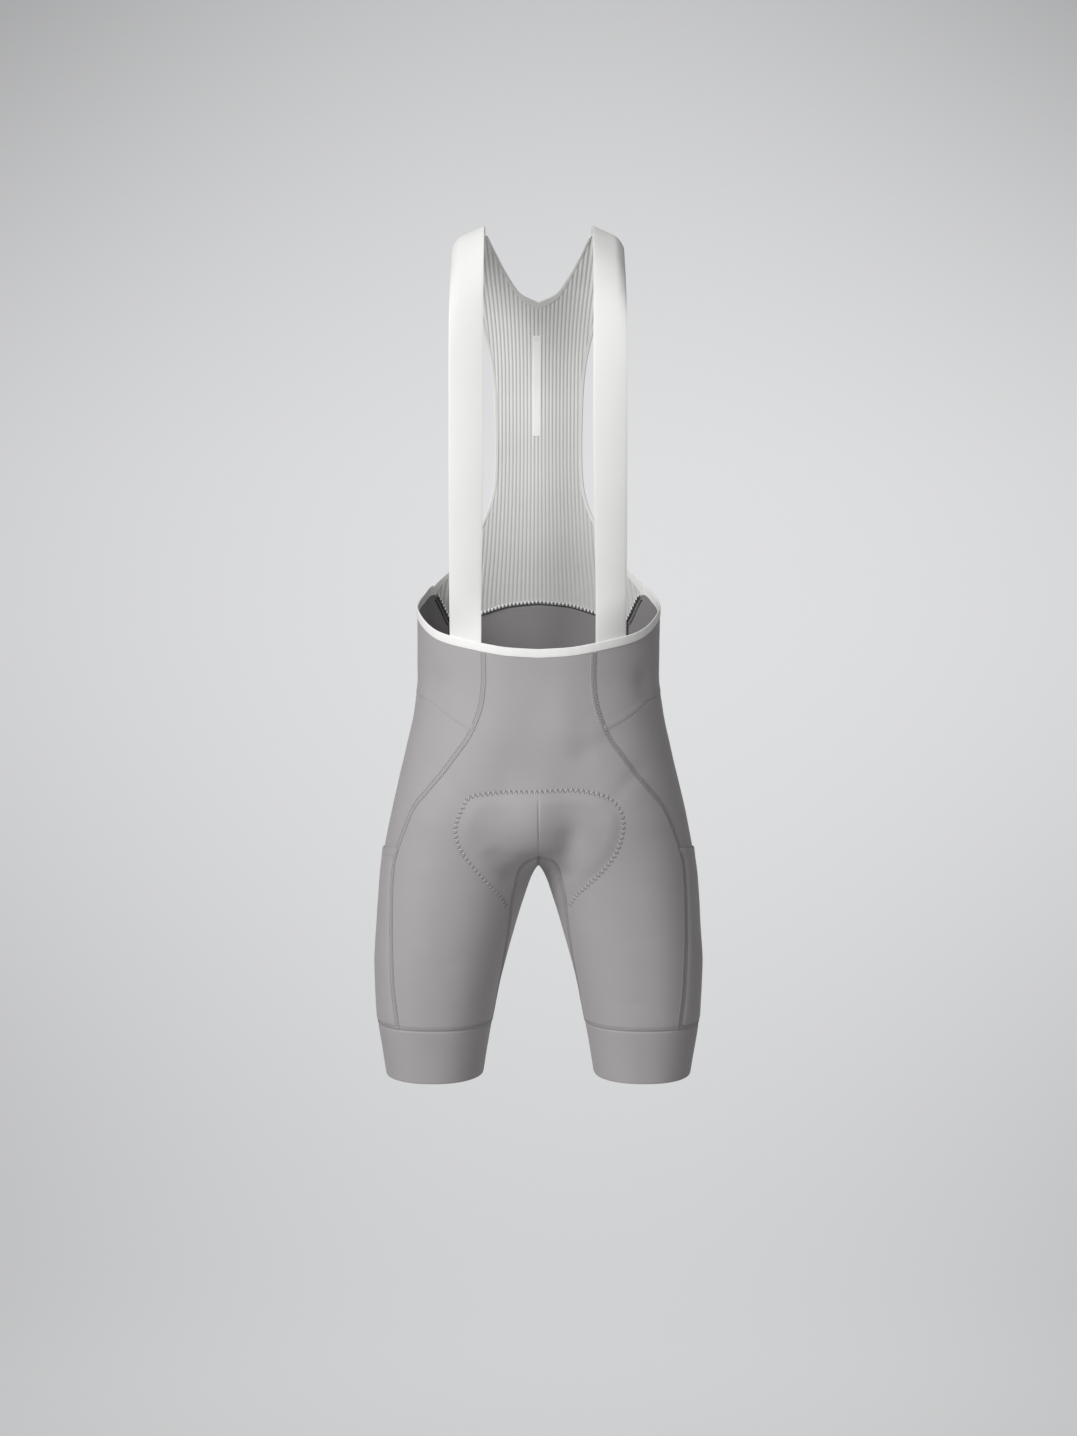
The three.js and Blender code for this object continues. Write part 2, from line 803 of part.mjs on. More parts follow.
const strapGrid = [];
for (let i = 0; i <= strapRows; i += 1) {
  const left = (1 - i / strapRows) ** strapCrowding;
  strapGrid.push(strapRow(shoulderHeight - (shoulderHeight - strapEndHeight) * left, -1));
}
for (let i = 1; i <= strapBackRows; i += 1) {
  const down = (i / strapBackRows) ** 2;
  strapGrid.push(strapRow(lerp(shoulderHeight, strapBackEnd, down), 1));
}
addPair('strap', strapWhite, strapGrid, { thickness: strapThickness, roughness: 0.55 });

// The label lies on the inner face of the mesh.
const labelRows = 6;
const labelColumns = [labelLeft, (labelLeft + labelRight) / 2, labelRight];
const labelGrid = [];
for (let i = 0; i <= labelRows; i += 1) {
  const height = lerp(labelBottom, labelTop, i / labelRows);
  const lean = labelTilt * (i / labelRows - 0.5);
  labelGrid.push(labelColumns.map((x) => bibPoint(x + lean, height, 1)));
}
garment.add(clothWall('label', labelWhite, joinGrids([labelGrid]), {
  thickness: labelThickness,
  proud: -(meshThickness + ribHeight + seamGap),
  roughness: 0.5,
}));

export default garment;
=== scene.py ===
import bpy
import math
import numpy as np
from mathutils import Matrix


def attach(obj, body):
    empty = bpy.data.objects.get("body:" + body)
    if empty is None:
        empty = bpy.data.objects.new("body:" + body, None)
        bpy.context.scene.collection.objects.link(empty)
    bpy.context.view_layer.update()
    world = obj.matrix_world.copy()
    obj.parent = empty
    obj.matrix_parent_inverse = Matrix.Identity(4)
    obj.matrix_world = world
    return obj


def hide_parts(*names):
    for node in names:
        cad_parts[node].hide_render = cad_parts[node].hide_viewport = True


# Cycling bib shorts, worn shape. Shapes are worked out in millimetres, with heights
# measured from the front of the waist, and turned into metres when a mesh is made.

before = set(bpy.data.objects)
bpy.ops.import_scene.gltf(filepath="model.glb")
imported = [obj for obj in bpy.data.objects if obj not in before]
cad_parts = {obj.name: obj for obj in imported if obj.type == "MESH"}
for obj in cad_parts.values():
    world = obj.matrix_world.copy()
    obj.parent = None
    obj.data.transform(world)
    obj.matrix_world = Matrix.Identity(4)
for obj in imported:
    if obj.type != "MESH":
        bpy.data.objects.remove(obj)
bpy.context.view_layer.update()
bpy.ops.object.select_all(action="DESELECT")
print("frame loaded,", len(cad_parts), "nodes")

garment = {
    "shoulderHeight": 479,
    "bandSeam": -410,
    "hem": -467,
    "hipSeam": -80,
    "crotch": -234,
    "pocketMouth": -210,
    "pocketMouthBack": -219,
    "cloth": 1.2,
    "roundness": 2.2,
}
roundPower = 2 / garment["roundness"]
halvings = 40  # how often a search halves its range
leftAndRight = ((True, "Left"), (False, "Right"))  # left is +X
colours = {
    "shorts": (0.426, 0.405, 0.410),
    "band": (0.420, 0.400, 0.406),
    "thread": (0.150, 0.142, 0.145),
    "darkThread": (0.030, 0.028, 0.029),
    "strap": (0.862, 0.862, 0.845),
    "binding": (0.940, 0.932, 0.912),
    "softBinding": (0.860, 0.857, 0.838),
    "mesh": (0.950, 0.950, 0.930),
    # the mesh groove colour is painted shade between the ribs
    "meshGrooveShade": (0.560, 0.560, 0.547),
    "label": (0.960, 0.960, 0.945),
    "backdrop": (0.400, 0.402, 0.406),
}


def toMetres(places):
    moved = np.array(places, float)
    moved[..., 2] -= garment["shoulderHeight"]
    return moved / 1000


def lerp(start, end, share):
    return start + (end - start) * share


def smoothStep(low, high, value):
    t = np.clip((value - low) / (high - low), 0, 1)
    return t * t * (3 - 2 * t)


def unit(vectors):
    length = np.linalg.norm(vectors, axis=-1, keepdims=True)
    return vectors / np.maximum(length, 1e-9)


# Reads a table between its rows by a smooth curve that never overshoots them.
def smoothTable(rows):
    table = np.array(sorted(rows), float)
    keys, values = table[:, 0], table[:, 1:]
    steps = np.diff(keys)[:, None]
    rises = np.diff(values, axis=0) / steps
    slopes = np.zeros_like(values)
    slopes[0], slopes[-1] = rises[0], rises[-1]
    before = 2 * steps[1:] + steps[:-1]
    after = steps[1:] + 2 * steps[:-1]
    rising = rises[:-1] * rises[1:] > 0
    low = np.where(rising, rises[:-1], 1)
    high = np.where(rising, rises[1:], 1)
    slopes[1:-1] = np.where(rising, (before + after) / (before / low + after / high), 0)

    def read(key):
        key = np.clip(np.asarray(key, float), keys[0], keys[-1])
        i = np.clip(np.searchsorted(keys, key, side="right") - 1, 0, len(keys) - 2)
        step = steps[i]
        t = (key - keys[i])[..., None] / step
        start = (1 + 2 * t) * (1 - t) ** 2 * values[i] + t * (1 - t) ** 2 * step * slopes[i]
        end = t * t * (3 - 2 * t) * values[i + 1] - t * t * (1 - t) * step * slopes[i + 1]
        result = start + end
        return result[..., 0] if values.shape[1] == 1 else result

    return read


# One side of the figure: height, then centre, outer, inner, front and back. The trunk has
# no inner side, so there inner is far away.
bodyTable = smoothTable([
    (479, 0, 166, -900, 0, 0), (477, 0, 166, -900, 9, 10), (472, 0, 166, -900, 19, 21),
    (462, 0, 165, -900, 33, 35), (445, 0, 165, -900, 51, 54), (420, 0, 164, -900, 70, 75),
    (385, 0, 162, -900, 90, 92), (345, 0, 160, -900, 102, 103), (300, 0, 156, -900, 109, 108),
    (240, 0, 151, -900, 113, 108), (180, 0, 146, -900, 114, 103), (120, 0, 140, -900, 112, 98),
    (61, 0, 136, -900, 108, 99), (0, 0, 135, -900, 105, 101), (-21, 0, 135, -900, 105, 103),
    (-60, 12, 139, -900, 106, 107), (-100, 29, 147.5, -900, 107, 112),
    (-140, 46, 157, -700, 106.5, 116), (-175, 62, 165, -330, 104, 118),
    (-200, 71, 170, -129, 99.5, 117), (-214, 78, 172.5, -42, 96.5, 114),
    (-225, 83, 174.3, -12, 94.5, 111), (-234, 87, 175.6, 0, 93, 108),
    (-240, 88.5, 176.4, 4.5, 92, 106), (-273, 98, 179, 17, 88, 97),
    (-307, 104, 181, 27.5, 84, 89), (-341, 110, 183, 37, 80, 83), (-374, 113.5, 182, 45, 76, 77),
    (-408, 116, 180, 52, 71, 71), (-442, 116.5, 175, 58, 65, 64), (-467, 116.5, 171, 62, 61, 60),
])


# A place on the figure's left side. turn runs round the section in degrees: 0 at the
# side, -90 at the front, 90 at the back and 180 at the inside of the leg.
def bodyPlace(height, turn):
    height, turn = np.broadcast_arrays(np.asarray(height, float), np.asarray(turn, float))
    centre, outer, inner, front, back = np.moveaxis(bodyTable(height), -1, 0)
    cosine, sine = np.cos(np.radians(turn)), np.sin(np.radians(turn))
    reach = np.where(cosine < 0, centre - inner, outer - centre)
    depth = np.where(sine < 0, front, back)
    x = centre + reach * np.sign(cosine) * np.abs(cosine) ** roundPower
    y = depth * np.sign(sine) * np.abs(sine) ** roundPower
    return np.stack([x, y, height], -1)


def bodyFacing(height, turn):
    step = 0.5
    around = bodyPlace(height, turn + step) - bodyPlace(height, turn - step)
    down = bodyPlace(height - step, turn) - bodyPlace(height + step, turn)
    facing = np.cross(down, around)
    x = bodyPlace(height, turn)[..., 0]
    facing[..., 0] = np.where(np.abs(x) < 0.4, 0, facing[..., 0])
    return unit(facing)


def turnAtX(height, x, face):
    centre, outer, inner = np.moveaxis(bodyTable(height), -1, 0)[:3]
    reach = np.where(x < centre, centre - inner, outer - centre)
    part = np.clip(np.abs(x - centre) / reach, 0, 1)
    cosine = np.sign(x - centre) * part ** (1 / roundPower)
    return face * np.degrees(np.arccos(cosine))


def turnAtInnerY(height, y):
    front, back = np.moveaxis(bodyTable(height), -1, 0)[3:]
    sine = (np.abs(y) / np.where(y < 0, front, back)) ** (1 / roundPower)
    return np.sign(y) * (180 - np.degrees(np.arcsin(np.clip(sine, 0, 1))))


# Seams, on the left side
frontSeamX = smoothTable([
    (10, 59.5), (-22, 58.8), (-47, 61), (-69, 67), (-87, 75.5), (-104, 87.5), (-124, 102.5),
    (-145, 120), (-163, 134.5), (-187, 145.5), (-207, 152.5), (-227, 158), (-262, 160.5),
    (-306, 161), (-357, 159.5), (-410, 154),
])
backSeamX = smoothTable([
    (40, 102), (-20, 104), (-80, 112), (-150, 126), (-207, 135), (-260, 138), (-320, 137),
    (-365, 133), (-410, 128),
])
frontTop = smoothTable([(0, -1.9), (0.5, 0), (1, 4.5)])
hipTop = smoothTable([(0, 4.5), (0.25, 17), (0.5, 40), (0.625, 49), (0.75, 59), (0.875, 70), (1, 38)])
seatTop = smoothTable([(0, 38), (0.4, 47.5), (0.75, 58), (1, 61)])
hipLine = smoothTable([(0, -80), (0.1, -71), (0.2, -61), (0.34, -48), (0.5, -43), (1, -20)])
hipTip = 0.875
hipRow, crotchRow, bandRow = 4, 12, 23


def frontHip(across):
    return np.full_like(across, float(garment["hipSeam"]))


def seatHip(across):
    return lerp(-20.0, -15.0, across)


# The arch over the crotch and down the leg, by row from the crotch.
def archLine(top, legY, face):
    legSteps = bandRow - crotchRow - 3
    rows = [(k, height, float(turnAtX(height, x, face))) for k, (height, x) in enumerate(top)]
    for i in range(1, legSteps + 1):
        height = lerp(top[-1][0], garment["bandSeam"], i / legSteps)
        rows.append((3 + i, height, float(turnAtInnerY(height, legY(height)))))
    mirror = (-1, rows[1][1], 2 * rows[0][2] - rows[1][2])
    return smoothTable([mirror] + rows)


frontArch = archLine(
    [(-214, 0), (-217, 11), (-226, 19), (-238, 23.4)],
    smoothTable([
        (-238, -63.5), (-250, -61), (-262, -57.2), (-279, -50), (-298, -42), (-343, -24.5),
        (-388, -10), (-410, -5),
    ]),
    -1,
)
backArch = archLine(
    [(-205, 0), (-209, 12), (-219, 21), (-233, 25.5)],
    smoothTable([
        (-238, 76), (-252, 69.5), (-262, 65), (-274, 59), (-298, 47.5), (-343, 33), (-388, 24),
        (-410, 22),
    ]),
    1,
)


# Each seam line gives height and turn at a row, counted from the waist down.
def sideLine(seamX, face, top, hip, pocket):
    def read(row):
        height = np.interp(row, [0, hipRow, crotchRow, bandRow], [top, hip, pocket, garment["bandSeam"]])
        return height, turnAtX(height, seamX(height), face)
    return read


def middleLine(arch, face, top, hip):
    def read(row):
        row = np.asarray(row, float)
        trunk = np.interp(row, [0, hipRow, crotchRow], [top, hip, arch(0.0)[0]])
        trunkTurn = turnAtX(trunk, np.zeros_like(trunk), face)
        height, turn = np.moveaxis(arch(np.maximum(row - crotchRow, 0)), -1, 0)
        above = row < crotchRow
        return np.where(above, trunk, height), np.where(above, trunkTurn, turn)
    return read


frontSeam = sideLine(frontSeamX, -1, 4.5, garment["hipSeam"], garment["pocketMouth"])
backSeam = sideLine(backSeamX, 1, 38, -20, garment["pocketMouthBack"])
frontMiddle = middleLine(frontArch, -1, -1.9, garment["hipSeam"])
backMiddle = middleLine(backArch, 1, 61, -15)


# Height and turn all over a panel that lies between two seam lines
def panelPlaces(panel, row, across):
    startHeight, startTurn = panel["start"](row)
    endHeight, endTurn = panel["end"](row)
    straight = lerp(startHeight, endHeight, across)
    atCrotch = lerp(panel["start"](crotchRow)[0], panel["end"](crotchRow)[0], across)
    hip = panel["hip"](across)
    upper = lerp(panel["top"](across), hip, row / hipRow)
    middle = lerp(hip, atCrotch, (row - hipRow) / (crotchRow - hipRow))
    height = np.where(row < hipRow, upper, np.where(row < crotchRow, middle, straight))
    return height, lerp(startTurn, endTurn, across)


# The line under the crotch where the two inner leg panels meet, by depth
def crotchLine(y):
    low, high = np.full_like(y, float(garment["crotch"])), np.full_like(y, -205.0)
    face = np.where(y < 0, -1, 1)
    for _ in range(halvings):
        middle = (low + high) / 2
        tooDeep = np.abs(bodyPlace(middle, turnAtX(middle, 0 * y, face))[..., 1]) > np.abs(y)
        low, high = np.where(tooDeep, low, middle), np.where(tooDeep, middle, high)
    turn = turnAtX(low, 0 * y, face)
    return low, np.where(turn < 0, turn + 360, turn)


# How far the inner leg panel hangs below a straight line from arch to arch, by row
innerSag = smoothTable([
    (0, 20), (1, 24), (2, 26), (3, 25), (4, 20), (5, 13), (6, 7), (7, 3), (8, 0), (11, 0),
])


def innerPlaces(panel, row, across):
    def between(k):
        startHeight, startTurn = np.moveaxis(backArch(k), -1, 0)
        endHeight, endTurn = np.moveaxis(frontArch(k), -1, 0)
        height = lerp(startHeight, endHeight, across) - innerSag(k) * np.sin(np.pi * across)
        return height, lerp(startTurn, endTurn + 360, across)

    height, turn = between(row)
    startY = bodyPlace(*backArch(0.0))[1]
    endY = bodyPlace(*frontArch(0.0))[1]
    topHeight, topTurn = crotchLine(lerp(startY, endY, across))
    nextHeight, nextTurn = between(np.ones_like(row))
    share = np.clip(row, 0, 1)
    mixed = []
    for top, below, free in ((topHeight, nextHeight, height), (topTurn, nextTurn, turn)):
        blend = lerp(top, below, share)
        blend = blend + lerp(free[:, :1] - blend[:, :1], free[:, -1:] - blend[:, -1:], across)
        mixed.append(np.where(row < 1, blend, free))
    return mixed


# Soft creases and hollows of the front (-1) and the back (1). Each has its
# depth into the cloth, below 0 for a ridge, its width, and its points as x and height.
creases = {
    -1: [
        (4.6, 14, [(42, -170), (35, -194), (30, -218), (27, -246)]),
        (3.2, 13, [(-56, -204), (-44, -218), (-34, -232), (-27, -250)]),
        (1.1, 15, [(30, -120), (54, -98), (84, -84)]),
        (-2.3, 25, [(22, -18), (24, -78), (18, -136)]),
        (2.0, 13, [(118, -8), (114, -30), (121, -54)]),
        (1.0, 13, [(-116, 2), (-112, -26), (-122, -52)]),
        (0.9, 9, [(118, -112), (92, -140), (64, -170)]),
        (0.7, 8, [(-112, -118), (-90, -141), (-66, -168)]),
        (-0.6, 10, [(84, -60), (60, -82), (36, -92)]),
        (0.6, 11, [(-94, -36), (-70, -52), (-40, -58)]),
        (0.5, 7, [(88, -300), (112, -308), (134, -302)]),
        (0.5, 8, [(-76, -330), (-104, -338), (-132, -331)]),
        (0.45, 7, [(70, -372), (98, -380), (126, -374)]),
    ],
    1: [
        (3.0, 13, [(26, -214), (62, -226), (98, -222), (128, -206)]),
        (2.6, 14, [(-27, -216), (-60, -230), (-96, -226), (-126, -212)]),
        (1.1, 9, [(24, -226), (54, -246), (88, -252)]),
        (1.3, 8, [(-25, -228), (-58, -250), (-84, -258)]),
        (4.5, 15, [(0, -70), (0, -120), (0, -165), (0, -200)]),
        (0.9, 8, [(84, -318), (112, -327), (136, -322)]),
        (0.8, 7, [(-80, -340), (-108, -346), (-134, -338)]),
        (0.8, 7, [(78, -366), (108, -374), (130, -368)]),
        (0.7, 8, [(-84, -384), (-108, -389), (-128, -383)]),
        (0.8, 12, [(30, 20), (58, 2), (84, -22)]),
        (0.7, 11, [(-24, 14), (-56, -8), (-86, -26)]),
    ],
}
creaseReach = 140  # no crease is felt further than this from its middle
frontBulge = {"x": -4, "height": -180, "left": 26, "right": 40, "tall": 38, "rise": 9.0}
seatPad = {"rise": 2.0, "ease": 15, "stitchDepth": 0.12, "stitchWidth": 3.2, "top": -90, "bottom": -300}
padOutlines = {
    -1: [
        (0, -145), (24, -143.5), (45, -144), (70, -150), (82.5, -159), (90, -173), (90, -190),
        (83, -212), (70, -230), (53, -248), (41, -260), (30, -276), (0, -282), (-32, -276),
        (-40, -264), (-54, -248), (-74, -224), (-86, -204), (-89, -184), (-83, -166), (-73, -151),
        (-45, -146), (-22, -145),
    ],
    1: [
        (0, -112), (26, -114), (52, -124), (72, -142), (80, -166), (77, -192), (64, -216),
        (48, -236), (34, -254), (0, -264), (-34, -254), (-48, -236), (-64, -216), (-77, -192),
        (-80, -166), (-72, -142), (-52, -124), (-26, -114),
    ],
}


# A smooth closed outline through its points
def roundOutline(points, perSpan=8):
    points = np.array(points, float)
    t = np.linspace(0, 1, perSpan, endpoint=False)[:, None]
    before, after = np.roll(points, 1, axis=0), np.roll(points, -1, axis=0)
    far = np.roll(points, -2, axis=0)
    spans = []
    for a, b, c, d in zip(before, points, after, far):
        spans.append(0.5 * (2 * b + (c - a) * t + (2 * a - 5 * b + 4 * c - d) * t * t
                            + (3 * b - a - 3 * c + d) * t ** 3))
    return np.concatenate(spans)


padLines = {face: roundOutline(points) for face, points in padOutlines.items()}


# Distance of points from a run of straight stretches, and how far along it they lie
def lineDistance(points, line):
    best = np.full(points.shape[:-1], 1e9)
    along = np.zeros(points.shape[:-1])
    lengths = np.linalg.norm(np.diff(line, axis=0), axis=1)
    total = max(lengths.sum(), 1e-9)
    done = 0.0
    for start, end, length in zip(line[:-1], line[1:], lengths):
        way = (end - start) / max(length, 1e-9)
        t = np.clip((points - start) @ way, 0, length)
        distance = np.linalg.norm(points - start - t[..., None] * way, axis=-1)
        nearer = distance < best
        best = np.where(nearer, distance, best)
        along = np.where(nearer, (done + t) / total, along)
        done += length
    return best, along


def insideOutline(points, outline):
    x, z = points[..., 0], points[..., 1]
    inside = np.zeros(x.shape, bool)
    for (x0, z0), (x1, z1) in zip(outline, np.roll(outline, -1, axis=0)):
        crosses = (z0 > z) != (z1 > z)
        at = x0 + (z - z0) * (x1 - x0) / (z1 - z0 if z1 != z0 else 1e-9)
        inside ^= crosses & (x < at)
    return inside


def onFace(x, height, face):
    x, height = np.asarray(x, float), np.asarray(height, float)
    place = bodyPlace(height, turnAtX(height, np.abs(x), face))
    place[..., 0] *= np.where(x < 0, -1, 1)
    return place


waves = np.random.default_rng(11).uniform(-1, 1, (14, 4))
unevenness = [(0.35, 70, 0), (0.16, 26, 5)]  # height, size, and the first wave used
turnFade = (0.1, 0.7)  # how squarely cloth faces forward where relief starts and is full


# A slow unevenness of the cloth, the same at a place whichever panel lies there
def slowWave(places, size, first=0):
    total = 0
    for x, y, z, phase in waves[first:first + 5]:
        total = total + np.sin((places @ np.array([x, y, z])) * (6.3 / size) + phase * 9)
    return total / 5


# How far the cloth stands off the figure, in millimetres. The bulge and the pad only
# push out cloth that faces the front or the back.
def clothRelief(places, facing=None):
    offset = sum(rise * slowWave(places, size, first) for rise, size, first in unevenness)
    bulge = frontBulge
    forward = np.sign(-places[..., 1]) if facing is None else -facing[..., 1]
    onFront = smoothStep(*turnFade, forward)
    wide = np.where(places[..., 0] > bulge["x"], bulge["left"], bulge["right"])
    away = ((places[..., 0] - bulge["x"]) / wide) ** 2
    away = away + ((places[..., 2] - bulge["height"]) / bulge["tall"]) ** 2
    offset = offset + onFront * bulge["rise"] * np.exp(-away)
    for face, rows in creases.items():
        for depth, width, points in rows:
            x, height = np.array(points, float).T
            line = onFace(x, height, face)
            near = np.linalg.norm(places - line.mean(axis=0), axis=-1) < creaseReach
            distance, along = lineDistance(places[near], line)
            uneven = np.sin(np.pi * np.clip(along, 0.03, 0.97)) ** 0.7  # fades at both ends
            uneven = uneven * (1 + 0.25 * np.sin(9 * along + x[0]))
            offset[near] -= depth * uneven * np.exp(-(distance / width) ** 2)
    for face, outline in padLines.items():
        reach = (places[..., 1] * face > 0) & (places[..., 2] < seatPad["top"])
        reach &= places[..., 2] > seatPad["bottom"]
        flat = places[reach][:, [0, 2]]
        closed = np.vstack([outline, outline[:1]])
        distance, _ = lineDistance(flat, closed)
        puff = np.where(insideOutline(flat, outline), smoothStep(0, seatPad["ease"], distance), 0)
        groove = np.exp(-(distance / seatPad["stitchWidth"]) ** 2)
        faced = smoothStep(*turnFade, -face * forward[reach])
        offset[reach] += faced * (seatPad["rise"] * puff - seatPad["stitchDepth"] * groove)
    return offset


# How the cloth lies beside a seam: a flat band of stitching, a groove, or a stitched edge
seams = {
    "flat": {"half": 2.9, "rise": 0.30, "groove": 0.22, "width": 0.5, "pucker": 0.10},
    "plain": {"half": 1.2, "rise": 0.05, "groove": 0.45, "width": 0.8, "pucker": 0.08},
    "faint": {"half": 1.6, "rise": 0.10, "groove": 0.16, "width": 0.6, "pucker": 0.05},
    "deep": {"half": 2.0, "rise": 0.12, "groove": 0.85, "width": 1.1, "pucker": 0.12},
    "lap": {"half": 5.5, "rise": 0.28, "groove": 0.0, "width": 1.0, "pucker": 0.06},
    "under": {"half": 0.5, "rise": 0.0, "groove": 0.30, "width": 0.9, "pucker": 0.06},
}
edgeSteps = np.array([0, 0.35, 0.8, 1.4, 2.1, 2.7, 3.2, 3.9, 5.2, 7.5])


def seamRelief(distance, along, kind):
    if kind is None:
        return 0
    seam = seams[kind]
    lift = seam["rise"] * (1 - smoothStep(seam["half"] - 0.5, seam["half"] + 0.6, distance))
    groove = seam["groove"] * np.exp(-(distance / seam["width"]) ** 2)
    ripple = np.sin(along / 1.35 + 2 * np.sin(along / 17)) * np.exp(-(distance / 6) ** 2)
    return lift - groove + seam["pucker"] * ripple * smoothStep(0.3, 2, distance)


# A seam's kind may change down a panel: then it is a list of kinds and starting rows.
def edgeRelief(distance, along, row, kinds):
    if not isinstance(kinds, list):
        return seamRelief(distance, along, kinds)
    total = 0
    for kind, start in kinds:
        total = lerp(total, seamRelief(distance, along, kind), smoothStep(start - 0.2, start + 0.2, row))
    return total


def arcLength(places, axis):
    steps = np.linalg.norm(np.diff(places, axis=axis), axis=-1)
    pad = [(0, 0), (0, 0)]
    pad[axis] = (1, 0)
    return np.pad(np.cumsum(steps, axis=axis), pad)


# Rows or columns that crowd towards the two edges of a panel
def crowded(length, count, first=True, last=True):
    near = edgeSteps / length
    start = near if first else near[:1]
    end = 1 - near[::-1] if last else np.ones(1)
    middle = np.linspace(start[-1], end[0], count + 2)[1:-1]
    return np.concatenate([start, middle, end])


# Wraps a grid primitive over the given places, rows from the top down.
def wrapGrid(name, places, facing, uv):
    rows, columns = places.shape[:2]
    bpy.ops.mesh.primitive_grid_add(x_subdivisions=columns - 1, y_subdivisions=rows - 1, size=2)
    piece = bpy.context.object
    piece.name = piece.data.name = name
    mesh = piece.data
    flat = np.zeros(len(mesh.vertices) * 3)
    mesh.vertices.foreach_get("co", flat)
    flat = flat.reshape(-1, 3)
    column = np.rint((flat[:, 0] + 1) / 2 * (columns - 1)).astype(int)
    row = rows - 1 - np.rint((flat[:, 1] + 1) / 2 * (rows - 1)).astype(int)
    mesh.vertices.foreach_set("co", toMetres(places[row, column]).ravel())
    corner = np.zeros(len(mesh.loops), int)
    mesh.loops.foreach_get("vertex_index", corner)
    mesh.uv_layers.active.data.foreach_set("uv", uv[row, column][corner].ravel() / 1000)
    mesh.update()
    normals = np.zeros(len(mesh.vertices) * 3)
    mesh.vertices.foreach_get("normal", normals)
    if (normals.reshape(-1, 3) * facing[row, column]).sum() < 0:
        mesh.flip_normals()
    return piece


def choose(*pieces):
    bpy.ops.object.select_all(action="DESELECT")
    for piece in pieces:
        piece.select_set(True)
    bpy.context.view_layer.objects.active = pieces[0]


def applyModifier(piece, kind, **settings):
    modifier = piece.modifiers.new(kind.title(), kind)
    for key, value in settings.items():
        setattr(modifier, key, value)
    choose(piece)
    bpy.ops.object.modifier_apply(modifier=modifier.name)


def mergeDoubles(piece, distance=0.00002):
    choose(piece)
    bpy.ops.object.mode_set(mode="EDIT")
    bpy.ops.mesh.select_all(action="SELECT")
    bpy.ops.mesh.remove_doubles(threshold=distance)
    bpy.ops.object.mode_set(mode="OBJECT")


def joined(name, *pieces):
    choose(*pieces)
    bpy.ops.object.join()
    piece = bpy.context.object
    piece.name = piece.data.name = name
    return piece


# Gives a sheet its thickness, inwards, with its cut edges slightly rounded. The new faces
# on the inner side are marked for painted shade inside the garment, partly the knit's duller reverse.
def giveThickness(piece, thickness, roundEdge=0, edgeAngle=50):
    outer = len(piece.data.polygons)
    applyModifier(piece, "SOLIDIFY", thickness=thickness / 1000, offset=-1, use_even_offset=False)
    number = np.arange(len(piece.data.polygons))
    inner = piece.data.attributes.new("inner", "FLOAT", "FACE")
    inner.data.foreach_set("value", ((number >= outer) & (number < 2 * outer)).astype(np.float32))
    if roundEdge:
        applyModifier(piece, "BEVEL", width=roundEdge / 1000, segments=2, limit_method="ANGLE",
                      angle_limit=math.radians(60))
    choose(piece)
    bpy.ops.object.shade_smooth_by_angle(angle=math.radians(edgeAngle))


def mirrorPlaces(places):
    flipped = places[:, ::-1].copy()
    flipped[..., 0] *= -1
    return flipped


# How far the pocket stands out, by the distance from the seams that it is sewn into
pocket = {"proud": 1.35, "sewnProud": 0.22, "ease": 0.35, "thickness": 1.0}


def pocketProud(distance):
    return lerp(pocket["sewnProud"], pocket["proud"], smoothStep(2.6, 8, distance))


# Makes one panel of cloth on the figure, from its dictionary. Its rows and columns are even
# along the cloth and crowd towards the seams, and its UV map is in millimetres of cloth.
def makePanel(name, panel, left=True):
    lengthDown = panel["length"]
    row = panel["rows"][0] + (panel["rows"][1] - panel["rows"][0]) * crowded(
        lengthDown, panel["down"], panel.get("crowdTop", True), True)
    row = row[:, None]
    places = panel.get("places", panelPlaces)
    even = np.linspace(0, 1, 49)[None, :] * np.ones_like(row)
    arc = arcLength(bodyPlace(*places(panel, row * np.ones_like(even), even)), 1)
    across = []
    for width, reach in zip(arc[:, -1], arc):
        wanted = crowded(width, panel["over"]) * width
        across.append(np.interp(wanted, reach, even[0]))
    across = np.array(across)
    height, turn = places(panel, row * np.ones_like(across), across)
    base = bodyPlace(height, turn)
    facing = bodyFacing(height, turn)
    over, down = arcLength(base, 1), arcLength(base, 0)
    edges = panel["edges"]
    sewn = np.minimum(np.minimum(over, over[:, -1:] - over), down[-1:] - down)
    offset = edgeRelief(over, down, row, edges.get("first"))
    if "proud" in panel:
        offset = offset + pocketProud(sewn)
    if "sunk" in panel:  # makes room for the pocket where both are sewn in
        offset = offset - panel["sunk"] * smoothStep(12, 12.6, row) * (1 - smoothStep(5, 11, sewn))
    lastShare = 1 if "lastFrom" not in panel else smoothStep(panel["lastFrom"], panel["lastFrom"] + 0.3, row)
    offset = offset + lastShare * seamRelief(over[:, -1:] - over, down + 40, edges.get("last"))
    offset = offset + seamRelief(down, over, edges.get("top"))
    offset = offset + seamRelief(down[-1:] - down, over + 30, edges.get("bottom"))
    if panel.get("ease"):
        mouth = np.sin(np.pi * over / over[:, -1:]) * np.exp(-down / 14)
        offset = offset + panel["ease"] * mouth
    uv = np.stack([over - over[:, -1:] / 2, -down], -1)
    if not left:
        base, facing, uv = mirrorPlaces(base), mirrorPlaces(facing), mirrorPlaces(uv)
        offset = (offset * np.ones(over.shape))[:, ::-1]
    offset = offset + clothRelief(base, facing)
    return wrapGrid(name, base + facing * offset[..., None], facing, uv)


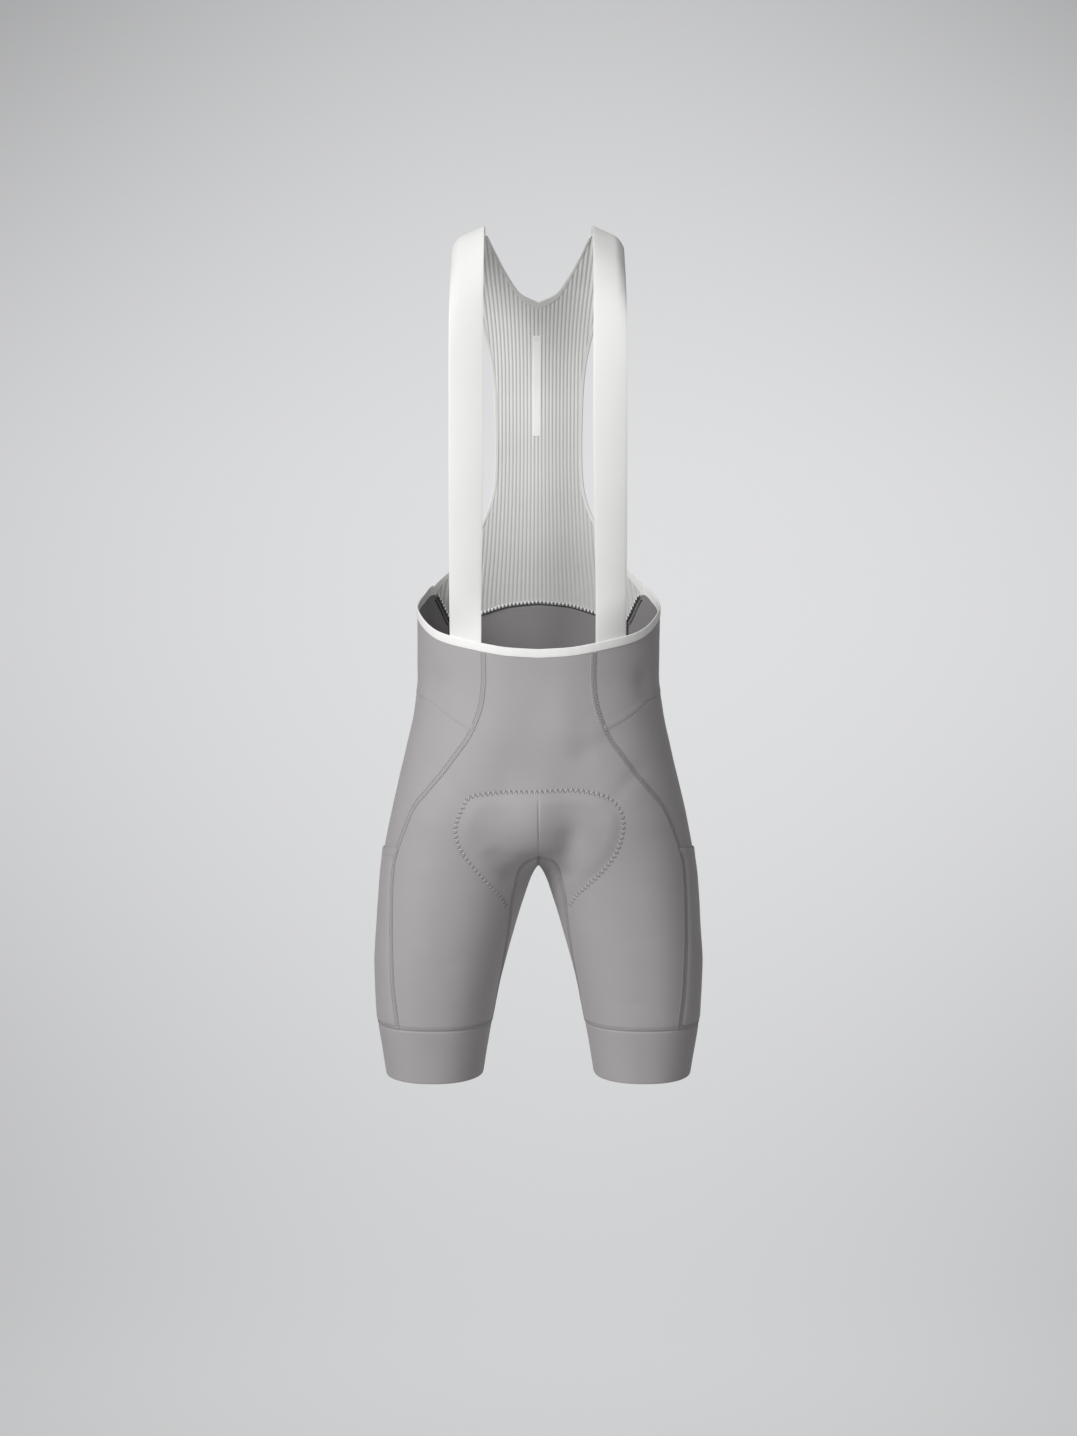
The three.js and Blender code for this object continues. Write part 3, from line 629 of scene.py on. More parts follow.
# Material nodes
def newMaterial(name, look):
    material = bpy.data.materials.new(name)
    material.use_nodes = True
    tree = material.node_tree
    shader = tree.nodes["Principled BSDF"]
    shader.inputs["Roughness"].default_value = look["roughness"]
    shader.inputs["Specular IOR Level"].default_value = look.get("specular", 0.35)
    shader.inputs["Sheen Weight"].default_value = look.get("sheen", 0)
    shader.inputs["Sheen Roughness"].default_value = look.get("sheenRoughness", 0.5)
    shader.inputs["Emission Color"].default_value = (*look["colour"], 1)
    shader.inputs["Emission Strength"].default_value = look.get("glow", 0)
    material.cycles.emission_sampling = "NONE"
    material.diffuse_color = (*look["colour"], 1)
    return material, tree, shader


def addNode(tree, kind, *inputs, **settings):
    node = tree.nodes.new(kind)
    for key, value in settings.items():
        setattr(node, key, value)
    for index, value in enumerate(inputs):
        if value is None:
            continue
        if isinstance(value, bpy.types.NodeSocket):
            tree.links.new(value, node.inputs[index])
        else:
            node.inputs[index].default_value = value
    return node


def sums(tree, operation, *inputs):
    return addNode(tree, "ShaderNodeMath", *inputs, operation=operation).outputs[0]


def times(tree, first, second):
    return sums(tree, "MULTIPLY", first, second)


def mixColours(tree, share, first, second):
    node = addNode(tree, "ShaderNodeMix", share, data_type="RGBA", blend_type="MIX")
    for socket, value in ((node.inputs[6], first), (node.inputs[7], second)):
        if isinstance(value, bpy.types.NodeSocket):
            tree.links.new(value, socket)
        else:
            socket.default_value = (*value, 1)
    return node.outputs[2]


def threads(tree, coordinate, pitch):
    angle = times(tree, coordinate, 2 * math.pi / pitch)
    wave = sums(tree, "SINE", angle)
    return sums(tree, "MULTIPLY_ADD", wave, 0.5, 0.5)


def noise(tree, vector, scale, detail=2.0):
    node = addNode(tree, "ShaderNodeTexNoise", noise_dimensions="3D")
    tree.links.new(vector, node.inputs["Vector"])
    node.inputs["Scale"].default_value = scale
    node.inputs["Detail"].default_value = detail
    return node.outputs["Fac"]


def uvParts(tree):
    uv = addNode(tree, "ShaderNodeUVMap", uv_map="UVMap")
    parts = addNode(tree, "ShaderNodeSeparateXYZ", uv.outputs[0])
    return parts.outputs[0], parts.outputs[1]


def objectPlace(tree):
    return addNode(tree, "ShaderNodeTexCoord").outputs["Object"]


def shadeInto(tree, shader, colour, shade):
    shaded = addNode(tree, "ShaderNodeVectorMath", colour, shade, operation="MULTIPLY")
    tree.links.new(shaded.outputs[0], shader.inputs["Base Color"])


def tinted(colour, share):
    return [min(c * share, 1) for c in colour]


def bumpInto(tree, shader, height, strength, distance):
    bump = addNode(tree, "ShaderNodeBump")
    bump.inputs["Strength"].default_value = strength
    bump.inputs["Distance"].default_value = distance
    tree.links.new(height, bump.inputs["Height"])
    tree.links.new(bump.outputs[0], shader.inputs["Normal"])


# A fine warp knit: wales along the panel, courses across it, and slow unevenness
def knitMaterial(name, look):
    material, tree, shader = newMaterial(name, look)
    across, along = uvParts(tree)
    place = objectPlace(tree)
    wales = threads(tree, across, look["wale"])
    courses = threads(tree, along, look["course"])
    loops = times(tree, wales, courses)
    mottle = noise(tree, place, 900, 3)
    slow = noise(tree, place, 14, 2)
    dark, light = tinted(look["colour"], look["dark"]), tinted(look["colour"], look["light"])
    outside = mixColours(tree, slow, dark, light)
    # inner faces are painted darker: shade inside the shorts, partly the duller reverse of the knit
    inner = addNode(tree, "ShaderNodeAttribute", attribute_name="inner").outputs["Fac"]
    base = mixColours(tree, inner, outside, tinted(look["colour"], look["inner"]))
    depth = sums(tree, "MULTIPLY_ADD", loops, 0.6, times(tree, mottle, 0.4))
    shadeInto(tree, shader, base, sums(
        tree, "MULTIPLY_ADD", depth, look["loopShade"], 1 - look["loopShade"] * 0.5))
    rough = sums(tree, "MULTIPLY_ADD", mottle, 0.14, look["roughness"] - 0.07)
    tree.links.new(rough, shader.inputs["Roughness"])
    bumpInto(tree, shader, depth, look["bump"], 0.0003)
    return material


knit = knitMaterial("shortsKnit", {
    "colour": colours["shorts"], "roughness": 0.62, "specular": 0.30, "sheen": 0.12,
    "wale": 0.0008, "course": 0.0006, "dark": 0.97, "light": 1.03, "inner": 0.62,
    "loopShade": 0.16, "bump": 0.25,
})
bandKnit = knitMaterial("legBandKnit", {
    "colour": colours["band"], "roughness": 0.66, "specular": 0.26, "sheen": 0.10,
    "wale": 0.0012, "course": 0.0005, "dark": 0.97, "light": 1.03, "inner": 0.75,
    "loopShade": 0.20, "bump": 0.30,
})


# Ribbed mesh: pale ribs with loops along them, and grooves between them painted darker: painted shade
# between the ribs, standing in also for the open mesh, darkest at its holes. It is painted darker
# lower down, as shade inside the shorts: darkFrom is that height, its end, and the shares there.
def ribMaterial(name, look):
    material, tree, shader = newMaterial(name, look)
    across, along = uvParts(tree)
    place = objectPlace(tree)
    turn = times(tree, across, math.pi / look["pitch"])
    ridge = sums(tree, "POWER", sums(tree, "ABSOLUTE", sums(tree, "SINE", turn)), 0.7)
    loops = threads(tree, along, look["loop"])
    holes = times(tree, sums(tree, "SUBTRACT", 1.0, ridge), threads(tree, along, look["hole"]))
    slow = noise(tree, place, 11, 2)
    low = addNode(tree, "ShaderNodeSeparateXYZ", place).outputs[2]
    lowShade = addNode(tree, "ShaderNodeMapRange", low, *look["darkFrom"],
                       interpolation_type="SMOOTHSTEP").outputs[0]
    # grooves take the darker groove colour: painted shade between the ribs, standing in also for the open
    # mesh
    clean = mixColours(tree, ridge, look["groove"], look["colour"])
    base = mixColours(tree, lowShade, clean, tinted(look["colour"], look["low"]))
    worn = mixColours(tree, times(tree, slow, 0.10), base, tinted(look["colour"], look["worn"]))
    pierced = mixColours(tree, times(tree, holes, 0.4), worn, tinted(look["groove"], look["open"]))
    tree.links.new(pierced, shader.inputs["Base Color"])
    fuzz = times(tree, noise(tree, place, 1400, 2), 0.5)
    depth = sums(tree, "ADD", times(tree, loops, 0.5), fuzz)
    bumpInto(tree, shader, depth, look["bump"], 0.0003)
    return material


ribbed = ribMaterial("ribbedMesh", {
    "colour": colours["mesh"], "groove": colours["meshGrooveShade"], "roughness": 0.85, "specular": 0.2,
    "sheen": 0.1, "pitch": 0.0042, "loop": 0.0011, "hole": 0.0016, "bump": 0.35,
    "darkFrom": (-0.12, -0.46, 0.0, 0.95), "low": 0.64, "worn": 0.8, "open": 0.45,
})


# Flat woven elastic: fine ribs across the tape and a slight lengthwise cast
def tapeMaterial(name, look):
    material, tree, shader = newMaterial(name, look)
    across, along = uvParts(tree)
    place = objectPlace(tree)
    weft = threads(tree, along, look["weft"])
    warp = threads(tree, across, look["warp"])
    weave = sums(tree, "MULTIPLY_ADD", weft, 0.65, times(tree, warp, 0.35))
    slow = noise(tree, place, 18, 2)
    base = mixColours(tree, slow, tinted(look["colour"], 0.985), look["colour"])
    shadeInto(tree, shader, base, sums(
        tree, "MULTIPLY_ADD", weave, look["weaveShade"], 1 - look["weaveShade"]))
    bumpInto(tree, shader, weave, look["bump"], 0.0002)
    return material


tape = tapeMaterial("strapElastic", {
    "colour": colours["strap"], "roughness": 0.5, "specular": 0.35, "sheen": 0.05,
    "weft": 0.0009, "warp": 0.0016, "weaveShade": 0.04, "bump": 0.2,
})
bindingTape = tapeMaterial("edgeBinding", {
    "colour": colours["binding"], "roughness": 0.55, "specular": 0.3, "sheen": 0.05,
    "weft": 0.0012, "warp": 0.0008, "weaveShade": 0.05, "bump": 0.2,
})
softBinding = tapeMaterial("softBinding", {
    "colour": colours["softBinding"], "roughness": 0.65, "specular": 0.25, "sheen": 0.05,
    "weft": 0.0012, "warp": 0.0008, "weaveShade": 0.06, "bump": 0.2,
})
# The label glows a little: painted light that makes the white satin brighter than its lighting does.
satin = tapeMaterial("wovenLabel", {
    "colour": colours["label"], "glow": 0.07, "roughness": 0.4, "specular": 0.45,
    "weft": 0.0004, "warp": 0.0005, "weaveShade": 0.03, "bump": 0.1,
})


# Sewing thread: two twisted plies
def threadMaterial(name, colour):
    material, tree, shader = newMaterial(name, {"colour": colour, "roughness": 0.6, "sheen": 0.1})
    place = objectPlace(tree)
    ply = noise(tree, place, 2600, 1)
    base = mixColours(tree, ply, tinted(colour, 0.75), tinted(colour, 1.2))
    tree.links.new(base, shader.inputs["Base Color"])
    bumpInto(tree, shader, ply, 0.3, 0.0001)
    return material


greyThread = threadMaterial("greyThread", colours["thread"])
knitThread = threadMaterial("knitThread", tinted(colours["shorts"], 0.84))
archThread = threadMaterial("archThread", tinted(colours["shorts"], 0.6))
# painted highlight and painted shade copies of the pad's zigzag thread
padLitThread = threadMaterial("padLitThread", tinted(colours["shorts"], 1.5))
padShade = threadMaterial("padShade", tinted(colours["shorts"], 0.7))
darkThread = threadMaterial("darkThread", colours["darkThread"])
paleThread = threadMaterial("paleThread", colours["binding"])
print("materials made")


# Gives a piece its material, hides the frame part that it replaces and hangs it on the root. A sheet's
# dictionary holds its flat size.
def finishPiece(piece, material, node=None):
    piece.data.materials.clear()
    piece.data.materials.append(material)
    if node:
        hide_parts(node)
    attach(piece, "root")


# Shorts panels. rows are counted from the waist down, down and over are how finely
# the panel is divided, and edges say what seam lies along each edge.
panels = {
    "front": {
        "start": frontMiddle, "end": frontSeam, "top": frontTop, "hip": frontHip,
        "rows": (0, 23), "length": 412, "down": 120, "over": 30, "crowdTop": False,
        "edges": {"first": [("faint", -1), ("deep", 8.4), ("flat", 12)], "last": "flat", "bottom": "deep"},
        "flat": (0.20, 0.415), "area": 0.052,
    },
    "hip": {
        "start": frontSeam, "end": backSeam, "top": hipTop, "hip": hipLine,
        "rows": (0, 4), "length": 85, "down": 26, "over": 40, "crowdTop": False,
        "edges": {"first": "flat", "last": "flat", "bottom": "lap"},
        "flat": (0.19, 0.145), "area": 0.0178,
    },
    "side": {
        "start": frontSeam, "end": backSeam, "top": hipTop, "hip": hipLine,
        "rows": (4, 23), "length": 350, "down": 100, "over": 32, "sunk": 1.2,
        "edges": {"first": "flat", "last": "flat", "top": "under", "bottom": "deep"},
        "flat": (0.22, 0.39), "area": 0.064,
    },
    "inner": {
        "places": innerPlaces,
        "rows": (0, 11), "length": 190, "down": 64, "over": 24,
        "edges": {"first": "flat", "last": "flat", "top": "plain", "bottom": "deep"},
        "flat": (0.19, 0.205), "area": 0.016,
    },
}
for kind, panel in panels.items():
    for left, side in leftAndRight:
        piece = makePanel(f"{kind}Panel{side}", panel, left)
        giveThickness(piece, garment["cloth"])
        finishPiece(piece, knit, f"{kind}_{side.lower()}")
print("front, hip, side and inner panels made")

# The seat is one piece: two halves that share the centre line down to the crotch.
seatPanel = {
    "start": backSeam, "end": backMiddle, "top": seatTop, "hip": seatHip,
    "rows": (0, 23), "length": 455, "down": 120, "over": 32, "lastFrom": 12,
    "edges": {"first": "flat", "last": "flat", "top": "flat", "bottom": "deep"},
    "flat": (0.47, 0.47), "area": 0.112,
}
seat = joined("seatPanel", makePanel("seatLeft", seatPanel, True), makePanel("seatRight", seatPanel, False))
mergeDoubles(seat, 0.0002)
giveThickness(seat, garment["cloth"])
finishPiece(seat, knit, "seat")
print("seat made")

# Thigh pockets, open along the top edge
pocketPanel = {
    "start": frontSeam, "end": backSeam, "top": hipTop, "hip": hipLine,
    "rows": (12, 23), "length": 202, "down": 60, "over": 32, "proud": pocket["proud"], "ease": pocket["ease"],
    "edges": {"first": "flat", "last": "flat", "top": "lap", "bottom": "deep"},
    "flat": (0.20, 0.215), "area": 0.0333,
}
for left, side in leftAndRight:
    piece = makePanel(f"thighPocket{side}", pocketPanel, left)
    giveThickness(piece, pocket["thickness"], roundEdge=0.3)
    finishPiece(piece, knit, f"pocket_{side.lower()}")

# Leg bands
bandPanel = {"rows": 26, "around": 168, "flat": (0.395, 0.0585), "hemRoll": 0.35, "dip": 2.6}
for left, side in leftAndRight:
    down = crowded(garment["bandSeam"] - garment["hem"], bandPanel["rows"])[:, None]
    around = np.linspace(0, 1, bandPanel["around"] + 1)[None, :]
    height = lerp(garment["bandSeam"] - 0.1, garment["hem"], down) + 0 * around
    turn = -180 + 360 * around + 0 * height
    base, facing = bodyPlace(height, turn), bodyFacing(height, turn)
    base[..., 2] -= bandPanel["dip"] * down ** 2 * np.clip(-facing[..., 1], 0, 1)
    over, below = arcLength(base, 1), arcLength(base, 0)
    offset = seamRelief(below, over, "deep")
    offset = offset - bandPanel["hemRoll"] * np.exp(-((below[-1:] - below) / 0.8) ** 2)
    uv = np.stack([over, -below], -1)
    if not left:
        base, facing, uv = mirrorPlaces(base), mirrorPlaces(facing), mirrorPlaces(uv)
        offset = offset[:, ::-1]
    offset = offset + clothRelief(base)
    band = wrapGrid(f"legBand{side}", base + facing * offset[..., None], facing, uv)
    mergeDoubles(band)
    giveThickness(band, garment["cloth"])
    finishPiece(band, bandKnit, f"band_{side.lower()}")
print("pockets and leg bands made")


# The bib, given by x and height on the figure's front or back. Its outer part lies
# lower at the shoulders, which slope down from the neck and round off beside it.
slopeFade = smoothTable([(330, 0), (390, 0.5), (450, 1)])
shoulder = {"slope": 0.45, "from": 59.5, "round": 0.07, "roundFrom": 84}


def bibPlace(x, height, face):
    x, height = np.broadcast_arrays(np.asarray(x, float), np.asarray(height, float))
    _, outer, _, front, back = np.moveaxis(bodyTable(height), -1, 0)
    width = (np.abs(x) / outer) ** garment["roundness"]
    y = face * np.where(face < 0, front, back) * (1 - width) ** (1 / garment["roundness"])
    fall = np.maximum(np.abs(x) - shoulder["from"], 0) * shoulder["slope"]
    fall = fall + np.maximum(np.abs(x) - shoulder["roundFrom"], 0) ** 2 * shoulder["round"]
    return np.stack([x, y, height - fall * slopeFade(height)], -1)


def bibFacing(x, height, face):
    step = 0.4
    low = np.minimum(height, 478.4)
    over = bibPlace(x + step, low, face) - bibPlace(x - step, low, face)
    up = bibPlace(x, low + step, face) - bibPlace(x, low - step, face)
    return unit(np.cross(up, over) * face)


# The edges of the mesh by height, the neck's by x, and how its ribs fan out from the narrowest
neckEdge = smoothTable([(0, 409), (20, 418), (35.5, 437.5), (45.5, 454), (58.5, 477), (63, 485)])
armEdge = smoothTable([
    (67, 120), (70.5, 118.5), (78, 114.5), (85, 109), (93, 102.5), (108, 91), (125, 79.5),
    (157, 61.7), (175, 54.4), (194, 49.9), (215, 47.9), (241, 47.3), (280, 47.9), (311, 49.2),
    (340, 52.3), (363, 57), (390, 64.5), (420, 75.5), (450, 86), (474, 89.3),
])
ribFan = smoothTable([
    (40, 1.19), (61, 1.18), (130, 1.08), (241, 1), (330, 1.01), (365, 1.04), (400, 1.1),
    (440, 1.2), (474, 1.28),
])
mesh = {
    "ribPitch": 4.2, "finePerRib": 8, "ribHeight": 0.5, "thickness": 1.0, "narrowest": 241,
    "tipX": 118.5, "top": 473.6, "neckDepth": 7.4, "rows": (22, 26, 34), "edgeRib": 11.5,
    "flat": (0.24, 0.435), "area": 0.050,
}

# The top edge of the seat and of the hip panel's last stretch, where the mesh starts
acrossSeat = np.linspace(1, 0, 160)
seatEdge = bodyPlace(seatTop(acrossSeat), lerp(backSeam(0)[1], backMiddle(0)[1], acrossSeat))
acrossHip = np.linspace(1, hipTip, 60)
hipEdge = bodyPlace(hipTop(acrossHip), lerp(frontSeam(0)[1], backSeam(0)[1], acrossHip))
waistBackLine = np.concatenate([seatEdge, hipEdge[1:]])
waistBackLine = waistBackLine[np.argsort(waistBackLine[:, 0])]


def meshBottom(x):
    return np.interp(x, waistBackLine[:, 0], waistBackLine[:, 2]) + 0.15


def meshTop(x):
    return np.minimum(neckEdge(x) - mesh["neckDepth"] - 0.1, mesh["top"])


# Halves a range until it holds the height where goUp turns false.
def findHeight(goUp, low, high):
    low, high = low.astype(float), high.astype(float)
    for _ in range(halvings):
        middle = (low + high) / 2
        up = goUp(middle)
        low, high = np.where(up, middle, low), np.where(up, high, middle)
    return (low + high) / 2


fineStep = mesh["ribPitch"] / mesh["finePerRib"]
edgeLine = mesh["edgeRib"] * mesh["ribPitch"]
edgeColumn = int(round(edgeLine / fineStep))
lowTip = float(meshBottom(mesh["tipX"]))
waistOfMesh = np.array([mesh["narrowest"]])


# The rib line, counted at the narrowest place, that meets the armhole at a height
def armRib(height):
    return armEdge(height) / ribFan(height)


armLow = findHeight(lambda h: armRib(h) > edgeLine, np.array([lowTip]), waistOfMesh)[0]
armHigh = findHeight(lambda h: armRib(h) < edgeLine, waistOfMesh, np.array([mesh["top"]]))[0]
lowColumns = int(mesh["tipX"] / ribFan(lowTip) / fineStep)
highColumns = int(armRib(mesh["top"]) / fineStep)


def meshZone(name, columns, rows, bottoms, tops):
    line = np.arange(-columns, columns + 1) * fineStep
    share = np.linspace(1, 0, rows + 1)[:, None]
    height = lerp(bottoms, tops, share)
    ribLine = np.abs(line)[None, :] + 0 * height
    x = ribLine * ribFan(height)
    if columns == edgeColumn:  # the last half rib closes up to the armhole
        inner = edgeLine - mesh["ribPitch"] / 2
        part = (ribLine - inner) / (edgeLine - inner)
        x = np.where(part > 0, lerp(inner * ribFan(height), armEdge(height), part), x)
    x = x * np.sign(line)
    places = bibPlace(x, height, 1)
    facing = bibFacing(x, height, 1)
    places = places + facing * (0.5 * slowWave(places, 60, 3))[..., None]
    uv = np.stack([line[None, :] + 0 * height, height], -1)
    piece = wrapGrid(name, places[:, ::-1], facing[:, ::-1], uv[:, ::-1])
    nearEdge = armEdge(height) - np.abs(x)
    nearEdge = np.minimum(nearEdge, np.minimum(height - meshBottom(np.abs(x)), meshTop(np.abs(x)) - height))
    ridge = np.abs(np.sin(np.pi * ribLine / mesh["ribPitch"])) ** 0.75
    raised = (2 * ridge - 1) * mesh["ribHeight"] * 0.5 + mesh["ribHeight"] * 0.5
    raised = raised * smoothStep(-0.2, 2.2, nearEdge)
    return piece, raised[:, ::-1], facing[:, ::-1]


def lineRange(columns):
    return np.abs(np.arange(-columns, columns + 1)) * fineStep


def searchBetween(goUp, line, low, high):
    return findHeight(goUp, np.full_like(line, low), np.full_like(line, high))


# Three zones from the waist up: out to the low tips, between the armholes, and out to the straps
zones = []
line = lineRange(lowColumns)
bottoms = searchBetween(lambda h: meshBottom(line * ribFan(h)) > h, line, 30, 85)
tops = searchBetween(lambda h: armRib(h) > line, line, lowTip, mesh["narrowest"])
tops = np.where(line <= edgeLine, armLow, tops)
zones.append(("lower", lowColumns, mesh["rows"][0], bottoms, np.maximum(tops, bottoms + 0.2)))
line = lineRange(edgeColumn)
zones.append(("middle", edgeColumn, mesh["rows"][1], np.full_like(line, armLow), np.full_like(line, armHigh)))
line = lineRange(highColumns)
bottoms = searchBetween(lambda h: armRib(h) < line, line, mesh["narrowest"], mesh["top"])
bottoms = np.where(line <= edgeLine, armHigh, bottoms)
tops = searchBetween(lambda h: meshTop(line * ribFan(h)) > h, line, 390, 480)
zones.append(("upper", highColumns, mesh["rows"][2], bottoms, np.maximum(tops, bottoms + 0.2)))

parts = []
for name, columns, rows, bottoms, tops in zones:
    part, raised, facing = meshZone(name, columns, rows, bottoms, tops)
    # the rib height and the way the cloth faces stay on the points until the wall has its thickness
    rows, columns = raised.shape
    grid = np.arange(rows * columns).reshape(rows, columns)[::-1]
    order = np.argsort(grid.ravel())
    ribs = part.data.attributes.new("ribs", "FLOAT", "POINT")
    ribs.data.foreach_set("value", raised[::-1].ravel().astype(np.float32))
    faces = part.data.attributes.new("faces", "FLOAT_VECTOR", "POINT")
    faces.data.foreach_set("vector", facing[::-1].ravel().astype(np.float32))
    parts.append(part)
bibBack = joined("bibBack", *parts)
mergeDoubles(bibBack, 0.00004)
outerCount = len(bibBack.data.vertices)
applyModifier(bibBack, "SOLIDIFY", thickness=mesh["thickness"] / 1000, offset=-1, use_even_offset=False)
count = len(bibBack.data.vertices)
position, faces, ribs = np.zeros(count * 3), np.zeros(count * 3), np.zeros(count)
bibBack.data.vertices.foreach_get("co", position)
bibBack.data.attributes["faces"].data.foreach_get("vector", faces)
bibBack.data.attributes["ribs"].data.foreach_get("value", ribs)
side = np.where(np.arange(count) < outerCount, 1, -1)
position = position.reshape(-1, 3) + faces.reshape(-1, 3) * (side * ribs)[:, None] / 1000
bibBack.data.vertices.foreach_set("co", position.ravel())
bibBack.data.update()
choose(bibBack)
bpy.ops.object.shade_smooth_by_angle(angle=math.radians(60))
finishPiece(bibBack, ribbed, "bib_back")
print("ribbed back made,", len(bibBack.data.polygons), "faces")


# A binding: a narrow strip folded over a cloth edge. up points out of the edge.
def foldBinding(name, base, up, facing, width, look):
    radius = look["thickness"] / 2
    width = np.broadcast_to(width, (len(base),))[None, :]
    leg = np.linspace(0, 1, look["legSteps"])[:, None]
    bend = np.radians(np.linspace(90, -90, look["bendSteps"]))[1:-1, None]
    outerUp = leg * (width - radius)
    outerOff = look["proud"] + 0.12 * np.sin(np.pi * leg)
    bendUp = width - radius + radius * np.cos(bend)
    bendOff = look["proud"] - radius + radius * np.sin(bend)
    innerOff = np.full_like(leg, look["proud"] - 2 * radius)
    profileUp = np.concatenate([outerUp, bendUp, outerUp[::-1]])
    profileOff = np.concatenate([outerOff, bendOff, innerOff])
    along = arcLength(base[None], 1)[0]
    ripple = look["ripple"] * np.sin(along / 2.1 + 2 * np.sin(along / 23))
    off = profileOff + ripple[None, :] * np.sign(profileOff + 0.6) * 0.5
    places = base[None] + up[None] * profileUp[..., None] + facing[None] * off[..., None]
    steps = np.hypot(np.diff(profileUp, axis=0), np.diff(profileOff, axis=0))
    around = np.concatenate([0 * width, np.cumsum(steps, axis=0)])
    uv = np.stack(np.broadcast_arrays(around, along[None, :]), -1)
    outward = np.sign(profileOff + look["thickness"] / 2 - look["proud"])[..., None] * facing[None]
    piece = wrapGrid(name, places[::-1], outward[::-1], uv[::-1])
    giveThickness(piece, look["strip"], edgeAngle=60)
    return piece


bindingLook = {
    "thickness": 2.0, "proud": 0.4, "strip": 0.55, "legSteps": 9, "bendSteps": 9, "ripple": 0.10,
}
waist = {"width": 9.2, "endWidth": 10.6, "endLength": 30, "flat": (0.019, 0.515)}
neck = {"width": 7.5, "lowest": 2.4, "flat": (0.0165, 0.135)}
arm = {"widths": [(0, 9.0), (9, 8.4), (24, 6.4), (42, 3.9)], "top": 472.5, "flat": (0.01, 0.40)}

# Waist binding, from one hip round the front to the other
acrossFront = np.linspace(0, 1, 70)
frontEdge = bodyPlace(frontTop(acrossFront), lerp(frontMiddle(0)[1], frontSeam(0)[1], acrossFront))
acrossHip = np.linspace(0, hipTip, 110)[1:]
hipRise = bodyPlace(hipTop(acrossHip), lerp(frontSeam(0)[1], backSeam(0)[1], acrossHip))
waistLine = np.concatenate([frontEdge, hipRise])
waistTurn = np.concatenate([
    lerp(frontMiddle(0)[1], frontSeam(0)[1], acrossFront),
    lerp(frontSeam(0)[1], backSeam(0)[1], acrossHip)])
waistUp = unit(bodyPlace(waistLine[:, 2] + 1, waistTurn) - waistLine)
waistFacing = bodyFacing(waistLine[:, 2] + 4, waistTurn)
waistBase = waistLine + waistFacing * clothRelief(waistLine)[:, None] + waistUp * 0.05


def bothSides(half):
    other = half[:0:-1].copy()
    other[:, 0] *= -1
    return np.concatenate([other, half])


waistFull, waistUpFull, waistFacingFull = (bothSides(h) for h in (waistBase, waistUp, waistFacing))
waistLength = arcLength(waistFull[None], 1)[0]
fromEnd = np.minimum(waistLength, waistLength[-1] - waistLength)
waistWidth = smoothTable([(0, waist["endWidth"]), (waist["endLength"], waist["width"])])(fromEnd)
waistBinding = foldBinding("waistBinding", waistFull, waistUpFull, waistFacingFull, waistWidth, bindingLook)
finishPiece(waistBinding, bindingTape, "waist_binding")

# Neck binding, which gets lower towards its ends under the straps
neckX = np.linspace(-61, 61, 150)
neckHeight = meshTop(np.abs(neckX)) + 0.15
neckBase = bibPlace(neckX, neckHeight, 1)
neckRise = np.minimum(neck["width"], mesh["top"] - neckHeight + 0.6)
neckUp = unit(bibPlace(neckX, np.minimum(neckHeight + 1, 478), 1) - neckBase)
neckFacing = bibFacing(neckX, neckHeight, 1)
keep = neckRise > neck["lowest"]
neckBase, neckUp, neckFacing, neckRise = neckBase[keep], neckUp[keep], neckFacing[keep], neckRise[keep]
neckOut = neckUp * (neckRise / neck["width"])[:, None]
neckBinding = foldBinding("neckBinding", neckBase, neckOut, neckFacing, neck["width"], bindingLook)
finishPiece(neckBinding, softBinding, "neck_binding")

# Armhole bindings
armHeights = np.concatenate([
    np.linspace(lowTip, mesh["narrowest"], 120), np.linspace(mesh["narrowest"], arm["top"], 110)[1:],
])
armX = armEdge(armHeights)
slopeUp = np.gradient(armHeights)
slopeX = np.gradient(armX)
length = np.hypot(slopeUp, slopeX)
outX, outUp = slopeUp / length, -slopeX / length
armBase = bibPlace(armX, armHeights, 1)
armOut = unit(bibPlace(armX + outX, armHeights + outUp, 1) - armBase)
armFacing = bibFacing(armX, armHeights, 1)
armWidth = smoothTable(arm["widths"])(arcLength(armBase[None], 1)[0])
for left, side in leftAndRight:
    flip = np.array([1 if left else -1, 1, 1])
    binding = foldBinding(f"armholeBinding{side}", armBase * flip, armOut * flip, armFacing * flip,
                          armWidth, bindingLook)
    finishPiece(binding, softBinding, f"armhole_binding_{side.lower()}")
print("bindings made")

# Straps, flat tape with a slightly thinner woven edge on each side: the x of both edges by
# height, and how far the front of a strap lies inside the waist
strapEdges = smoothTable([
    (-14, 61.8, 94.9), (60, 61.4, 94.9), (176, 59.2, 94.9), (248, 58.3, 94.9), (479, 60, 94.9),
])
strapInset = smoothTable([(-14, 3.4), (26, 3.2), (60, 1), (100, 0)])
strap = {
    "thickness": 1.4, "bottom": -14, "backEnd": 474.1, "down": 190, "backSteps": 9, "over": 22,
    "crowding": 1.7, "selvedge": 1.4, "flat": (0.034, 0.59), "wave": 0.5, "wider": 1.2, "flatten": 6.4,
}
strapTop = garment["shoulderHeight"]
strapHeights = strap["bottom"] + (strapTop - strap["bottom"]) * (
    1 - (1 - np.linspace(0, 1, strap["down"])) ** strap["crowding"])
share = np.linspace(0, 1, strap["backSteps"] + 1)[1:]
backHeights = lerp(strapTop, strap["backEnd"], share ** 2)
acrossStrap = np.concatenate([
    [0, 0.012, 0.03, 0.05], np.linspace(0.07, 0.93, strap["over"]), [0.95, 0.97, 0.988, 1],
])


